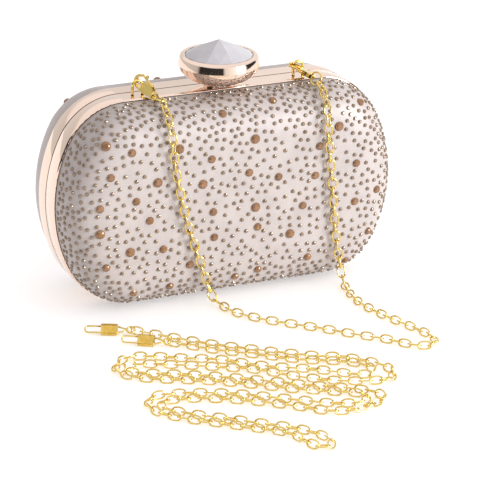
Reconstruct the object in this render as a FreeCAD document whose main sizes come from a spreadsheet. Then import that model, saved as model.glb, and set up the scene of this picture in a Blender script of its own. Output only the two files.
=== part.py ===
import FreeCAD, Part
import Sketcher
import math
import os
from FreeCAD import Placement, Rotation, Vector

# Evening clutch: a hard case of two domed, satin-covered shells in polished metal frames, hinged
# along the bottom and closed by a crystal knob, with a short chain clipped to two bails and a
# long chain that lies in front of it.
#
# Frame of the part: X to the right, Y to the back, Z up. The origin lies on the surface that the
# case stands on, under the middle of the seam between the two frames. Lengths are millimetres.

# Driving sizes
SIZES = {
    # Outline of the frames: straight top and bottom, corner arcs and end arcs
    "case_length": 175.0,
    "case_height": 101.2,
    "corner_radius": 32.0,
    "end_radius": 74.5,
    # Frame bands
    "band_depth": 10.0,
    "band_wall": 1.0,
    "band_bevel": 0.6,
    "seam_gap": 0.15,
    # Shells: domed covers whose rims are glued inside the bands
    "shell_wall": 1.6,
    "shell_seat": 2.0,
    "shell_fit": 0.3,
    "bulge_depth": 21.5,
    "dome_bevel": 10.7,
    "dome_edge_bevel": 4.0,
    "hollow_bevel": 13.2,
    # Linings: thin trays inside the shells
    "lining_wall": 0.6,
    "lining_fit": 0.2,
    # Hinge along the bottom
    "hinge_margin": 0.2,
    "knuckle_radius": 1.5,
    "hinge_pin_radius": 0.75,
    "knuckle_gap": 0.2,
    "hinge_relief": 0.4,
    "leaf_wall": 0.7,
    "leaf_depth": 5.0,
    # Clasp: knob, lever, bracket, springs
    "clasp_setback": 5.0,
    "pivot_drop": 3.0,
    "pivot_pin_radius": 0.8,
    "running_clearance": 0.05,
    "plate_wall": 0.6,
    "plate_length": 14.0,
    "plate_width": 8.4,
    "stem_width": 7.2,
    "stem_depth": 3.2,
    "slot_clearance": 0.5,
    "tilt_clearance": 0.9,
    "bracket_wall": 0.7,
    "bracket_margin": 0.8,
    "bracket_front": 2.7,
    "bracket_back": 3.6,
    "ear_gap": 1.4,
    "ear_width": 3.0,
    "ear_drop": 2.3,
    "pin_end": 0.3,
    "lever_drop": 1.6,
    "arm_wall": 1.0,
    "arm_width": 5.0,
    "arm_reach": 3.6,
    "tooth_wall": 0.8,
    "tooth_rise": 1.3,
    "catch_gap": 0.3,
    "catch_grip": 0.9,
    "spring_wall": 0.4,
    "spring_width": 4.0,
    "spring_gap": 0.1,
    "spring_bump": 0.9,
    "spring_reach": 0.5,
    "catch_length": 6.4,
    # Knob: metal cup and pointed crystal
    "foot_radius": 5.0,
    "cup_radius": 20.0,
    "cup_rise": 9.8,
    "rim_radius": 17.8,
    "rim_rise": 14.2,
    "cup_wall": 1.0,
    "lip_rise": 1.0,
    "crystal_radius": 16.4,
    "crown_rise": 7.6,
    "girdle_rise": 0.8,
    "pavilion_drop": 7.5,
    "setting_fit": 0.1,
    # Bails: wire loops that stand in the front band
    "bail_spacing": 84.6,
    "bail_width": 5.0,
    "bail_rise": 8.0,
    "bail_wire": 1.4,
    "bail_peen": 0.6,
    # Stones glued on the shells
    "large_stone_radius": 2.35,
    "medium_stone_radius": 2.0,
    "stone_rise": 1.6,
    "glue_line": 0.08,
    # Lobster clasps, and where the tops of their claws lie
    "clasp_length": 16.0,
    "clasp_wall": 2.2,
    "clasp_eye_radius": 1.0,
    "gate_wall": 0.9,
    "gate_side_fit": 0.15,
    "gate_pin_radius": 0.45,
    "left_clasp_x": -41.96,
    "left_clasp_y": -2.94,
    "left_clasp_z": 109.93,
    "right_clasp_x": 39.05,
    "right_clasp_y": -2.94,
    "right_clasp_z": 106.86,
    # Chains and jump rings
    "link_length": 7.05,
    "link_width": 4.7,
    "link_wire": 0.95,
    "link_pitch": 4.75,
    "link_slack": 0.2,
    "floor_lift": 1.85,
    "jump_ring_radius": 3.2,
    # Clips of the long chain, and where their hooks' tips lie
    "clip_length": 24.3,
    "clip_wire": 1.2,
    "clip_width": 4.6,
    "clip_eye_radius": 1.2,
    "sleeve_length": 8.0,
    "sleeve_wall": 0.8,
    "sleeve_fit": 0.05,
    "sleeve_bevel": 0.7,
    "first_clip_x": -85.0,
    "first_clip_y": -44.0,
    "first_clip_z": 1.45,
    "second_clip_x": -73.0,
    "second_clip_y": -61.0,
    "second_clip_z": 1.45,
    # One overrun for every cut
    "overrun": 2.0,
}

FINE = 0.01
KNUCKLE_COUNT = 3
HOLE_SIDES = 8
BAIL_SIDES = 8
ARCH_STEPS = 5
PEEN_SHARE = 1.5
LINK_SIDES = 4
RING_CORNERS = 12
CORD_SIDES = 4
CORD_STEPS = 2
KITE_COUNT = 8
KITE_SHARE = 0.56
CUP_SIDES = 32
STONE_SIDES = 5
TABLE_SHARE = 0.6
HALF_STEP_SHARE = 0.5
ROLL_SHARE = 0.25
TWIST_LINKS = 8
LINK_END_SHARE = 0.5
LINK_WIRE_SHARE = 0.92
RING_WIRE_SHARE = 0.95

# Profile of the knob's bowl, as shares of its radius and of the height of its widest place
BOWL_SHARES = ((0.475, 0.05), (0.66, 0.18), (0.82, 0.39), (0.94, 0.65), (1.0, 1.0), (0.975, 1.24))
HOLLOW_SHARES = ((0.9, 0.92), (0.73, 0.47))

# Places of the big stones, as shares of the outline's half length and half height
LARGE_STONE_SHARES = (
    (-0.359, 0.604), (0.091, 0.604), (0.601, 0.619), (-0.485, 0.301), (-0.219, 0.223),
    (0.1, -0.087), (0.314, -0.411), (-0.645, -0.359), (-0.771, 0.703), (-0.817, -0.141),
)
MEDIUM_STONE_SHARES = (
    (0.227, 0.915), (-0.085, 0.866), (-0.633, 0.626), (0.483, 0.446), (-0.168, 0.461),
    (0.057, 0.275), (0.236, 0.191), (0.461, 0.152), (0.715, 0.219), (-0.61, 0.141),
    (0.857, -0.095), (0.713, -0.175), (0.389, -0.139), (-0.155, -0.073), (-0.531, -0.069),
    (0.114, -0.291), (-0.148, -0.332), (-0.451, -0.377), (0.814, -0.526), (0.43, -0.689),
    (-0.293, -0.577), (0.127, -0.744), (-0.009, -0.787), (-0.402, -0.783), (-0.614, -0.803),
    (0.685, -0.808), (-0.755, 0.409), (-0.817, 0.111), (-0.781, -0.491), (0.758, 0.796),
)

# Outlines of the lobster clasps, as shares of their length
CLASP_OUTLINE_SHARES = (
    (0.163, 0.126), (0.163, 0.219), (0.069, 0.164), (0.016, 0.081), (0.0, 0.0), (0.016, -0.081),
    (0.069, -0.164), (0.144, -0.21), (0.231, -0.222), (0.406, -0.222), (0.6, -0.188), (0.787, -0.119),
    (0.9, -0.119), (0.984, -0.084), (1.019, 0.0), (0.984, 0.084), (0.9, 0.119), (0.787, 0.119),
    (0.662, 0.188), (0.55, 0.206), (0.55, 0.128), (0.385, 0.128), (0.385, -0.09), (0.345, -0.14),
    (0.29, -0.163), (0.231, -0.163), (0.145, -0.14), (0.088, -0.08), (0.066, 0.0), (0.088, 0.08),
)
GATE_OUTLINE_SHARES = (
    (0.181, 0.172), (0.181, 0.216), (0.269, 0.216), (0.281, 0.306), (0.35, 0.306), (0.369, 0.219),
    (0.537, 0.206), (0.637, 0.194), (0.662, 0.144), (0.637, 0.1), (0.588, 0.094), (0.55, 0.109),
    (0.525, 0.15),
)
GATE_SLOT_SHARES = (0.369, 0.725, 0.025, 0.263)
GATE_PIVOT_SHARES = (0.606, 0.144)
EYE_PLACE_SHARE = 0.9

# Outline of the long chain's hooks, as shares of their length
HOOK_OUTLINE_SHARES = (
    (0.095, 0.095), (0.028, 0.067), (0.0, 0.0), (0.028, -0.067), (0.095, -0.095), (0.658, -0.095),
    (0.658, -0.037), (0.827, -0.037), (0.835, -0.066), (0.864, -0.095), (0.942, -0.095), (1.0, -0.041),
    (1.0, 0.041), (0.942, 0.095), (0.864, 0.095), (0.835, 0.066), (0.827, 0.037), (0.658, 0.037),
    (0.658, 0.095), (0.514, 0.095), (0.514, -0.045), (0.095, -0.045), (0.062, -0.031), (0.049, 0.0),
    (0.062, 0.031), (0.095, 0.045), (0.391, 0.045), (0.391, 0.095),
)
HOOK_EYE_SHARE = 0.905
SLEEVE_START_SHARE = 0.329

# Ways that the clasps, rings and clips point
LEFT_AXIS_SHARES = (0.324, -0.793, -0.516)
LEFT_SIDE_SHARES = (0.444, -0.354, 0.823)
RIGHT_AXIS_SHARES = (0.36, -0.9, -0.22)
RIGHT_SIDE_SHARES = (-0.84, -0.43, 0.33)
LEFT_RING_SHARES = (0.474, -0.868, -0.147)
LEFT_RING_SIDE_SHARES = (-0.835, -0.496, 0.237)
RIGHT_RING_SHARES = (0.389, -0.908, -0.157)
RIGHT_RING_SIDE_SHARES = (-0.394, 0.066, -0.917)
FIRST_CLIP_SHARES = (0.908, -0.419, 0.0)
SECOND_CLIP_SHARES = (0.862, -0.507, 0.0)

# Middles of the chains, as shares of the case's length; two numbers where they lie on the floor
SHORT_ROUTE_SHARES = (
    (-0.208, -0.17, 0.555), (-0.205, -0.199, 0.5), (-0.2, -0.194, 0.434), (-0.187, -0.194, 0.366),
    (-0.17, -0.194, 0.286), (-0.146, -0.194, 0.206), (-0.117, -0.194, 0.12), (-0.098, -0.194, 0.062),
    (-0.086, -0.206, 0.02), (-0.072, -0.236), (-0.062, -0.29), (-0.012, -0.363), (0.054, -0.425),
    (0.12, -0.485), (0.186, -0.557), (0.252, -0.614), (0.282, -0.663), (0.334, -0.698), (0.374, -0.655),
    (0.356, -0.588), (0.329, -0.514), (0.304, -0.437), (0.289, -0.36), (0.294, -0.289), (0.305, -0.238),
    (0.313, -0.207, 0.02), (0.309, -0.194, 0.062), (0.296, -0.194, 0.137), (0.286, -0.194, 0.217),
    (0.278, -0.194, 0.303), (0.27, -0.194, 0.383), (0.262, -0.194, 0.451), (0.258, -0.198, 0.506),
    (0.259, -0.173, 0.558),
)
LONG_ROUTE_SHARES = (
    (-0.355, -0.311), (-0.288, -0.38), (-0.207, -0.465), (-0.11, -0.539), (-0.065, -0.577),
    (0.039, -0.649), (0.084, -0.666), (0.16, -0.746), (0.17, -0.806), (0.134, -0.848), (0.026, -0.814),
    (-0.072, -0.747), (-0.157, -0.657), (-0.259, -0.598), (-0.31, -0.569), (-0.405, -0.521),
    (-0.452, -0.505), (-0.484, -0.53), (-0.455, -0.563), (-0.385, -0.595), (-0.279, -0.653),
    (-0.177, -0.722), (-0.072, -0.798), (-0.017, -0.828), (0.066, -0.89), (0.076, -0.928),
    (0.057, -0.951), (-0.034, -0.975), (-0.094, -0.956), (-0.14, -0.912), (-0.235, -0.835),
    (-0.352, -0.765), (-0.459, -0.738), (-0.48, -0.774), (-0.436, -0.829), (-0.344, -0.902),
    (-0.298, -0.941), (-0.202, -1.019), (-0.159, -1.092), (-0.165, -1.128), (-0.201, -1.132),
    (-0.221, -1.094), (-0.235, -1.03), (-0.312, -0.969), (-0.388, -0.906), (-0.465, -0.843),
    (-0.504, -0.787), (-0.501, -0.744), (-0.483, -0.714), (-0.447, -0.704), (-0.349, -0.732),
    (-0.261, -0.777), (-0.166, -0.846), (-0.066, -0.919), (-0.011, -0.939), (0.033, -0.929),
    (0.034, -0.892), (-0.018, -0.863), (-0.121, -0.803), (-0.171, -0.764), (-0.243, -0.712),
    (-0.345, -0.652), (-0.461, -0.599), (-0.513, -0.523), (-0.45, -0.455), (-0.388, -0.472),
    (-0.286, -0.534), (-0.228, -0.556), (-0.16, -0.622), (-0.112, -0.659), (-0.007, -0.719),
    (0.061, -0.779), (0.103, -0.797), (0.127, -0.772), (0.115, -0.731), (0.076, -0.696),
    (-0.032, -0.643), (-0.122, -0.568), (-0.226, -0.492), (-0.2926, -0.4203),
)

doc = FreeCAD.newDocument("EveningClutch")
sheet = doc.addObject("Spreadsheet::Sheet", "Sizes")
for row, (alias, number) in enumerate(SIZES.items(), start=1):
    cell = "A" + str(row)
    sheet.set(cell, str(number))
    sheet.setAlias(cell, alias)
doc.recompute()


class Size:
    """A length or share with its number and the sheet expression that gives it."""

    def __init__(self, number, text):
        self.number = number
        self.text = text

    def __add__(self, other):
        other = as_size(other)
        return Size(self.number + other.number, "(" + self.text + " + " + other.text + ")")

    def __sub__(self, other):
        other = as_size(other)
        return Size(self.number - other.number, "(" + self.text + " - " + other.text + ")")

    def __neg__(self):
        return Size(-self.number, "(0 - " + self.text + ")")

    def __mul__(self, share):
        share = as_size(share)
        return Size(self.number * share.number, "(" + self.text + " * " + share.text + ")")

    def __truediv__(self, share):
        share = as_size(share)
        return Size(self.number / share.number, "(" + self.text + " / " + share.text + ")")

    __radd__ = __add__
    __rmul__ = __mul__

    def root(self):
        return Size(math.sqrt(self.number), "sqrt(" + self.text + ")")


def as_size(value):
    if isinstance(value, Size):
        return value
    return Size(float(value), repr(float(value)))


def size(alias):
    return Size(float(sheet.get(alias)), "Sizes." + alias)


def bind(thing, path, value):
    value = as_size(value)
    thing.setExpression(path, value.text)


# Sizes worked out from the driving ones
half_length = size("case_length") / 2
half_height = size("case_height") / 2
corner_radius = size("corner_radius")
end_radius = size("end_radius")
end_centre = half_length - end_radius
corner_centre_z = half_height - corner_radius
corner_reach = (end_radius - corner_radius) * (end_radius - corner_radius) - corner_centre_z * corner_centre_z
corner_centre_x = end_centre + corner_reach.root()
seam_gap = size("seam_gap")
band_front = seam_gap + size("band_depth")
shell_rim = size("band_wall") + size("shell_fit")
board_rim = shell_rim + size("shell_wall")
lining_rim = board_rim + size("lining_fit")
lining_face = lining_rim + size("lining_wall")
seat_start = band_front - size("shell_seat")
case_top = size("case_height")
inner_top = case_top - size("band_wall")
hinge_axis_z = size("knuckle_radius")
hinge_length = (corner_centre_x - size("hinge_margin")) * 2
dome_top = band_front + size("bulge_depth")
pivot_y = -size("clasp_setback")
pivot_z = inner_top - size("pivot_drop")
foot_z = case_top + size("plate_wall") + size("tilt_clearance")
crystal_seat = size("rim_rise") - size("lip_rise")


# Sketch helpers
def plane_of(body, role):
    for feature in body.Origin.OriginFeatures:
        if feature.Role == role:
            return feature
    raise ValueError("no plane " + role)


def new_body(label):
    body = doc.addObject("PartDesign::Body", label)
    body.Label = label
    return body


def new_sketch(body, name, role, distance=0):
    sketch = body.newObject("Sketcher::SketchObject", body.Name + "_" + name)
    sketch.AttachmentSupport = [(plane_of(body, role), "")]
    sketch.MapMode = "FlatFace"
    bind(sketch, "AttachmentOffset.Base.z", distance)
    sketch.AttachmentOffset = Placement(Vector(0, 0, as_size(distance).number), Rotation())
    return sketch


def dimension(sketch, kind, arguments, value):
    value = as_size(value)
    index = sketch.addConstraint(Sketcher.Constraint(kind, *arguments, value.number))
    sketch.setExpression("Constraints[" + str(index) + "]", value.text)


def pin_point(sketch, geometry, point, x, y):
    dimension(sketch, "DistanceX", (-1, 1, geometry, point), x)
    dimension(sketch, "DistanceY", (-1, 1, geometry, point), y)


def draw_polygon(sketch, corners):
    """A closed polygon whose corners are pairs of sizes."""
    points = [Vector(as_size(x).number, as_size(y).number, 0) for x, y in corners]
    lines = []
    for start, end in zip(points, points[1:] + points[:1]):
        lines.append(sketch.addGeometry(Part.LineSegment(start, end), False))
    for line, following in zip(lines, lines[1:] + lines[:1]):
        sketch.addConstraint(Sketcher.Constraint("Coincident", line, 2, following, 1))
    for line, (x, y) in zip(lines, corners):
        pin_point(sketch, line, 1, x, y)
    return lines


def draw_circle(sketch, x, y, radius):
    centre = Vector(as_size(x).number, as_size(y).number, 0)
    circle = sketch.addGeometry(Part.Circle(centre, Vector(0, 0, 1), as_size(radius).number), False)
    pin_point(sketch, circle, 3, x, y)
    dimension(sketch, "Radius", (circle,), radius)
    return circle


def draw_octagon(sketch, x, y, radius):
    """A hole drawn with eight flat sides that touch its circle from outside."""
    reach = as_size(radius) / math.cos(math.pi / HOLE_SIDES)
    corners = []
    for number in range(HOLE_SIDES):
        angle = math.pi * (2 * number + 1) / HOLE_SIDES
        corners.append((as_size(x) + reach * math.cos(angle), as_size(y) + reach * math.sin(angle)))
    draw_polygon(sketch, corners)


def draw_outline(sketch, inset):
    """The frames' outline, drawn in by an even inset: two straights, four corners, two ends."""
    inset = as_size(inset)
    top = (half_height - inset).number
    corner = (corner_radius - inset).number
    end = (end_radius - inset).number
    corner_x = corner_centre_x.number
    corner_z = corner_centre_z.number
    end_x = end_centre.number
    turn = math.atan2(corner_z, corner_x - end_x)
    square = math.pi / 2
    axis = Vector(0, 0, 1)

    def arc(x, y, radius, start, finish):
        circle = Part.Circle(Vector(x, y, 0), axis, radius)
        return sketch.addGeometry(Part.ArcOfCircle(circle, start, finish), False)

    right = arc(end_x, 0, end, -turn, turn)
    top_right = arc(corner_x, corner_z, corner, turn, square)
    top_line = sketch.addGeometry(Part.LineSegment(Vector(corner_x, top, 0), Vector(-corner_x, top, 0)), False)
    top_left = arc(-corner_x, corner_z, corner, square, 2 * square - turn)
    left = arc(-end_x, 0, end, 2 * square - turn, 2 * square + turn)
    bottom_left = arc(-corner_x, -corner_z, corner, 2 * square + turn, 3 * square)
    bottom_line = sketch.addGeometry(Part.LineSegment(Vector(-corner_x, -top, 0), Vector(corner_x, -top, 0)), False)
    bottom_right = arc(corner_x, -corner_z, corner, 3 * square, 4 * square - turn)
    loop = [right, top_right, top_line, top_left, left, bottom_left, bottom_line, bottom_right]
    for piece, following in zip(loop, loop[1:] + loop[:1]):
        sketch.addConstraint(Sketcher.Constraint("Tangent", piece, 2, following, 1))
    for piece, side in ((right, 1), (left, -1)):
        pin_point(sketch, piece, 3, end_centre * side, 0)
        dimension(sketch, "Radius", (piece,), end_radius - inset)
    corners = ((top_right, 1, 1), (top_left, -1, 1), (bottom_left, -1, -1), (bottom_right, 1, -1))
    for piece, side, level in corners:
        pin_point(sketch, piece, 3, corner_centre_x * side, corner_centre_z * level)
    return loop


def pad(body, sketch, length, reverse=False):
    feature = body.newObject("PartDesign::Pad", sketch.Name + "_pad")
    feature.Profile = sketch
    bind(feature, "Length", length)
    feature.Reversed = reverse
    return feature


def pocket(body, sketch, length, reverse=False):
    feature = body.newObject("PartDesign::Pocket", sketch.Name + "_pocket")
    feature.Profile = sketch
    bind(feature, "Length", length)
    feature.Reversed = reverse
    return feature


def move(thing, x=0, y=0, z=0, half_turn=False):
    """Places a finished sub-part, and turns the rear ones half round the vertical."""
    turn = Rotation(Vector(0, 0, 1), 180) if half_turn else Rotation()
    place = Vector(as_size(x).number, as_size(y).number, as_size(z).number)
    thing.Placement = Placement(place, turn)
    bind(thing, "Placement.Base.x", x)
    bind(thing, "Placement.Base.y", y)
    bind(thing, "Placement.Base.z", z)


def edge_names(shape, test):
    return ["Edge" + str(number) for number, edge in enumerate(shape.Edges, start=1) if test(edge)]


def outline_pad(body, name, inset, start, length):
    sketch = new_sketch(body, name, "XZ_Plane", start)
    draw_outline(sketch, inset)
    return pad(body, sketch, length)


def outline_pocket(body, name, inset, start, length):
    sketch = new_sketch(body, name, "XZ_Plane", start)
    draw_outline(sketch, inset)
    return pocket(body, sketch, length, True)


# Frame bands
def frame_band(label, rear):
    body = new_body(label)
    overrun = size("overrun")
    outline_pad(body, "outer", 0, seam_gap, size("band_depth"))
    outline_pocket(body, "inner", size("band_wall"), seam_gap - overrun, size("band_depth") + overrun * 2)
    dress_edges(body, "bevel", size("band_bevel"), [on_depth(band_front, 0)])
    # Notch along the bottom, where the hinge barrel lies flush
    notch_reach = (hinge_axis_z * corner_radius * 2 - hinge_axis_z * hinge_axis_z).root()
    notch_half = corner_centre_x + notch_reach + size("hinge_relief")
    notch_depth = size("knuckle_radius") + size("hinge_relief")
    notch = new_sketch(body, "notch", "XZ_Plane", -overrun)
    low = -half_height - overrun
    high = -half_height + size("corner_radius") / 2
    draw_polygon(notch, [(-notch_half, low), (notch_half, low), (notch_half, high), (-notch_half, high)])
    pocket(body, notch, notch_depth + overrun, True)
    if not rear:
        # Slot for the knob's stem, and holes for the bails' legs
        slot = new_sketch(body, "slot", "XY_Plane", half_height + overrun)
        draw_slot(slot)
        pocket(body, slot, size("corner_radius") / 2)
        legs = new_sketch(body, "legs", "XY_Plane", half_height + overrun)
        for side in (-1, 1):
            for leg in (-1, 1):
                x = size("bail_spacing") / 2 * side + size("bail_width") / 2 * leg
                draw_octagon(legs, x, pivot_y, size("bail_wire") / 2 + size("running_clearance"))
        pocket(body, legs, size("corner_radius") / 2)
    move(body, 0, 0, half_height, rear)
    return body


def draw_slot(sketch):
    half = size("stem_width") / 2 + size("slot_clearance")
    front = pivot_y - size("stem_depth") / 2 - size("slot_clearance")
    back = pivot_y + size("stem_depth") / 2 + size("slot_clearance") + size("tilt_clearance")
    draw_polygon(sketch, [(-half, front), (half, front), (half, back), (-half, back)])


def outline_inset(x, z):
    """How far a point lies inside the frames' outline."""
    x = abs(x)
    z = abs(z)
    corner_x = corner_centre_x.number
    corner_z = corner_centre_z.number
    end_x = end_centre.number
    turn = math.atan2(corner_z, corner_x - end_x)
    distances = []
    if x <= corner_x:
        distances.append(half_height.number - z)
    elif math.atan2(z - corner_z, x - corner_x) >= turn:
        distances.append(corner_radius.number - math.hypot(x - corner_x, z - corner_z))
    if x > end_x and math.atan2(z, x - end_x) <= turn:
        distances.append(end_radius.number - math.hypot(x - end_x, z))
    return min(distances) if distances else half_height.number - z


# Shells and linings
def on_depth(depth, inset):
    """A test for the edges that run round the outline at one depth and one inset."""
    level = -as_size(depth).number
    inset = as_size(inset).number

    def test(edge):
        box = edge.BoundBox
        if abs(box.YMin - level) > FINE or abs(box.YMax - level) > FINE:
            return False
        middle = edge.valueAt((edge.FirstParameter + edge.LastParameter) / 2)
        return abs(outline_inset(middle.x, middle.z) - inset) < FINE

    return test


def dress_edges(body, name, value, tests):
    """Chamfers the edges of the newest feature that pass one of the tests."""
    doc.recompute()
    base = body.Tip
    names = []
    for test in tests:
        names += edge_names(base.Shape, test)
    feature = body.newObject("PartDesign::Chamfer", body.Name + "_" + name)
    feature.Base = (base, names)
    bind(feature, "Size", value)
    return feature


def bevelled_block(label, inset, depth, wide, rear):
    """A block of the outline's form, with an even bevel round its front corner."""
    body = new_body(label)
    outline_pad(body, "block", inset, seat_start, depth - seat_start)
    dress_edges(body, "bevel", wide, [on_depth(depth, inset)])
    move(body, 0, 0, half_height, rear)
    return body


def cut(name, base, tool):
    result = doc.addObject("Part::Cut", name)
    result.Base = base
    result.Tool = tool
    result.Refine = True
    return result


def domed_shell(label, rear):
    """A board covered with satin: three facets follow the dome's round, and a bevelled hollow."""
    wide = size("dome_bevel")
    dome = bevelled_block(label + "_dome", shell_rim, dome_top, wide, rear)
    tests = [on_depth(dome_top, shell_rim + wide), on_depth(dome_top - wide, shell_rim)]
    dress_edges(dome, "edge_bevel", size("dome_edge_bevel"), tests)
    floor = dome_top - size("shell_wall")
    hollow = bevelled_block(label + "_hollow", board_rim, floor, size("hollow_bevel"), rear)
    return cut(label, dome, hollow)


def lining_tray(label, rear):
    wide = size("hollow_bevel")
    back = dome_top - size("shell_wall") - size("lining_fit")
    tray = bevelled_block(label + "_tray", lining_rim, back, wide, rear)
    floor = back - size("lining_wall")
    hollow = bevelled_block(label + "_hollow", lining_face, floor, wide, rear)
    return cut(label, tray, hollow)


# Plain solids, named after the piece that they belong to
def block(name, x_ends, y_ends, z_ends):
    box = doc.addObject("Part::Box", name)
    x_start, x_end = [as_size(end) for end in x_ends]
    y_start, y_end = [as_size(end) for end in y_ends]
    z_start, z_end = [as_size(end) for end in z_ends]
    bind(box, "Length", x_end - x_start)
    bind(box, "Width", y_end - y_start)
    bind(box, "Height", z_end - z_start)
    move(box, x_start, y_start, z_start)
    return box


def rod_along_x(name, radius, x_start, length, y, z):
    rod = doc.addObject("Part::Cylinder", name)
    bind(rod, "Radius", radius)
    bind(rod, "Height", length)
    move(rod, x_start, y, z)
    rod.Placement = Placement(rod.Placement.Base, Rotation(Vector(0, 1, 0), 90))
    return rod


def fuse(name, things):
    fused = doc.addObject("Part::MultiFuse", name)
    fused.Shapes = things
    fused.Refine = True
    return fused


# Hinge: three knuckles on one pin, the outer two on the front leaf
def hinge_leaf(label, places, side):
    radius = size("knuckle_radius")
    gap = size("knuckle_gap")
    pitch = (hinge_length + gap) / KNUCKLE_COUNT
    knuckle = pitch - gap
    edge = (radius + size("hinge_relief")) * side
    reach = edge + size("leaf_depth") * side
    low = size("band_wall")
    high = low + size("leaf_wall")
    start = -hinge_length / 2
    things = []
    if side < 0:
        plate_ends = (reach, edge)
    else:
        plate_ends = (edge, reach)
    things.append(block(label + "_plate", (start, start + hinge_length), plate_ends, (low, high)))
    for place in places:
        x = start + pitch * place
        name = label + "_knuckle" + str(place)
        things.append(rod_along_x(name, radius, x, knuckle, 0, hinge_axis_z))
        web_ends = (edge, 0) if side < 0 else (0, edge)
        things.append(block(name + "_web", (x, x + knuckle), web_ends, (low, high)))
    solid = fuse(label + "_solid", things)
    bore_radius = size("hinge_pin_radius") + size("running_clearance")
    overrun = size("overrun")
    bore_length = hinge_length + overrun * 2
    bore = rod_along_x(label + "_bore", bore_radius, start - overrun, bore_length, 0, hinge_axis_z)
    return cut(label, solid, bore)


def hinge_pin():
    return rod_along_x("hinge_pin", size("hinge_pin_radius"), -hinge_length / 2, hinge_length, 0, hinge_axis_z)


# Clasp: the knob tilts back, so that its lever's tooth drops clear of the rear frame's catch
def clasp_plate():
    body = new_body("clasp_plate")
    sketch = new_sketch(body, "plate", "XY_Plane", case_top)
    half = size("plate_length") / 2
    depth = size("plate_width") / 2
    corner = depth / 2
    low = pivot_y - depth
    high = pivot_y + depth
    corners = [(-half + corner, low), (half - corner, low), (half, low + corner), (half, high - corner)]
    corners += [(half - corner, high), (-half + corner, high), (-half, high - corner), (-half, low + corner)]
    draw_polygon(sketch, corners)
    pad(body, sketch, size("plate_wall"))
    slot = new_sketch(body, "slot", "XY_Plane", case_top + size("overrun"))
    draw_slot(slot)
    pocket(body, slot, size("overrun") * 2)
    return body


def clasp_bracket():
    wall = size("bracket_wall")
    stem = size("stem_width") / 2
    ear_start = stem + size("ear_gap")
    half = ear_start + wall + size("bracket_margin")
    front = pivot_y - size("bracket_front")
    back = pivot_y + size("bracket_back")
    low = inner_top - wall
    label = "clasp_bracket"
    things = [block(label + "_base", (-half, half), (front, back), (low, inner_top))]
    ear_half = size("ear_width") / 2
    for side in (-1, 1):
        ends = (ear_start, ear_start + wall) if side > 0 else (-ear_start - wall, -ear_start)
        name = label + "_ear" + str(side + 1)
        ear_ends = (pivot_y - ear_half, pivot_y + ear_half)
        things.append(block(name, ends, ear_ends, (pivot_z - size("ear_drop"), inner_top)))
    solid = fuse(label + "_solid", things)
    half_slot = stem + size("slot_clearance")
    slot_front = pivot_y - size("stem_depth") / 2 - size("slot_clearance")
    slot_back = pivot_y + size("stem_depth") / 2 + size("slot_clearance") + size("tilt_clearance")
    overrun = size("overrun")
    slot = block(label + "_slot", (-half_slot, half_slot), (slot_front, slot_back), (low - overrun, case_top))
    open_base = cut(label + "_open", solid, slot)
    radius = size("pivot_pin_radius") + size("running_clearance")
    bore = rod_along_x(label + "_bore", radius, -half - overrun, (half + overrun) * 2, pivot_y, pivot_z)
    return cut(label, open_base, bore)


def clasp_pivot_pin():
    half = size("stem_width") / 2 + size("ear_gap") + size("bracket_wall") + size("pin_end")
    return rod_along_x("clasp_pivot_pin", size("pivot_pin_radius"), -half, half * 2, pivot_y, pivot_z)


def clasp_lever():
    half = size("stem_width") / 2
    depth = size("stem_depth") / 2
    low = pivot_z - size("lever_drop")
    arm_top = low + size("arm_wall")
    arm = size("arm_width") / 2
    tooth_back = size("arm_reach")
    tooth_front = tooth_back - size("tooth_wall")
    label = "clasp_lever"
    things = [
        block(label + "_stem", (-half, half), (pivot_y - depth, pivot_y + depth), (low, foot_z)),
        block(label + "_arm", (-arm, arm), (pivot_y, tooth_back), (low, arm_top)),
        block(label + "_tooth", (-arm, arm), (tooth_front, tooth_back), (low, arm_top + size("tooth_rise"))),
    ]
    solid = fuse(label + "_solid", things)
    radius = size("pivot_pin_radius") + size("running_clearance")
    overrun = size("overrun")
    bore = rod_along_x(label + "_bore", radius, -half - overrun, (half + overrun) * 2, pivot_y, pivot_z)
    return cut(label, solid, bore)


def clasp_spring():
    wall = size("spring_wall")
    half = size("spring_width") / 2
    back = pivot_y - size("bracket_front")
    low = pivot_z - size("lever_drop") - size("spring_gap") - size("spring_bump") - wall
    high = inner_top - size("bracket_wall")
    foot_end = size("spring_reach")
    bump_start = foot_end - size("spring_bump") * 2
    label = "clasp_spring"
    things = [
        block(label + "_back", (-half, half), (back, back + wall), (low, high)),
        block(label + "_foot", (-half, half), (back, foot_end), (low, low + wall)),
        block(label + "_bump", (-half, half), (bump_start, foot_end), (low, low + wall + size("spring_bump"))),
    ]
    return fuse(label, things)


def catch_spring():
    wall = size("bracket_wall")
    half = size("arm_width")
    lip_end = size("arm_reach") - size("tooth_wall") - size("catch_gap")
    lip_start = lip_end - size("tooth_wall")
    base_start = lip_start - size("catch_gap")
    base_end = base_start + size("catch_length")
    tooth_top = pivot_z - size("lever_drop") + size("arm_wall") + size("tooth_rise")
    lip_low = tooth_top - size("catch_grip")
    label = "catch_spring"
    things = [
        block(label + "_base", (-half, half), (base_start, base_end), (inner_top - wall, inner_top)),
        block(label + "_lip", (-half, half), (lip_start, lip_end), (lip_low, inner_top)),
    ]
    return fuse(label, things)


# Knob: a metal cup with a pointed crystal in its rim
def polyhedron(faces):
    """A solid from its flat faces, each a list of corners."""
    shapes = [Part.Face(Part.makePolygon(corners + corners[:1])) for corners in faces]
    solid = Part.Solid(Part.Shell(shapes))
    if solid.Volume < 0:
        solid.reverse()
    return solid


def solid_feature(label, shape):
    feature = doc.addObject("Part::Feature", label)
    feature.Label = label
    feature.Shape = shape
    return feature


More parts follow.
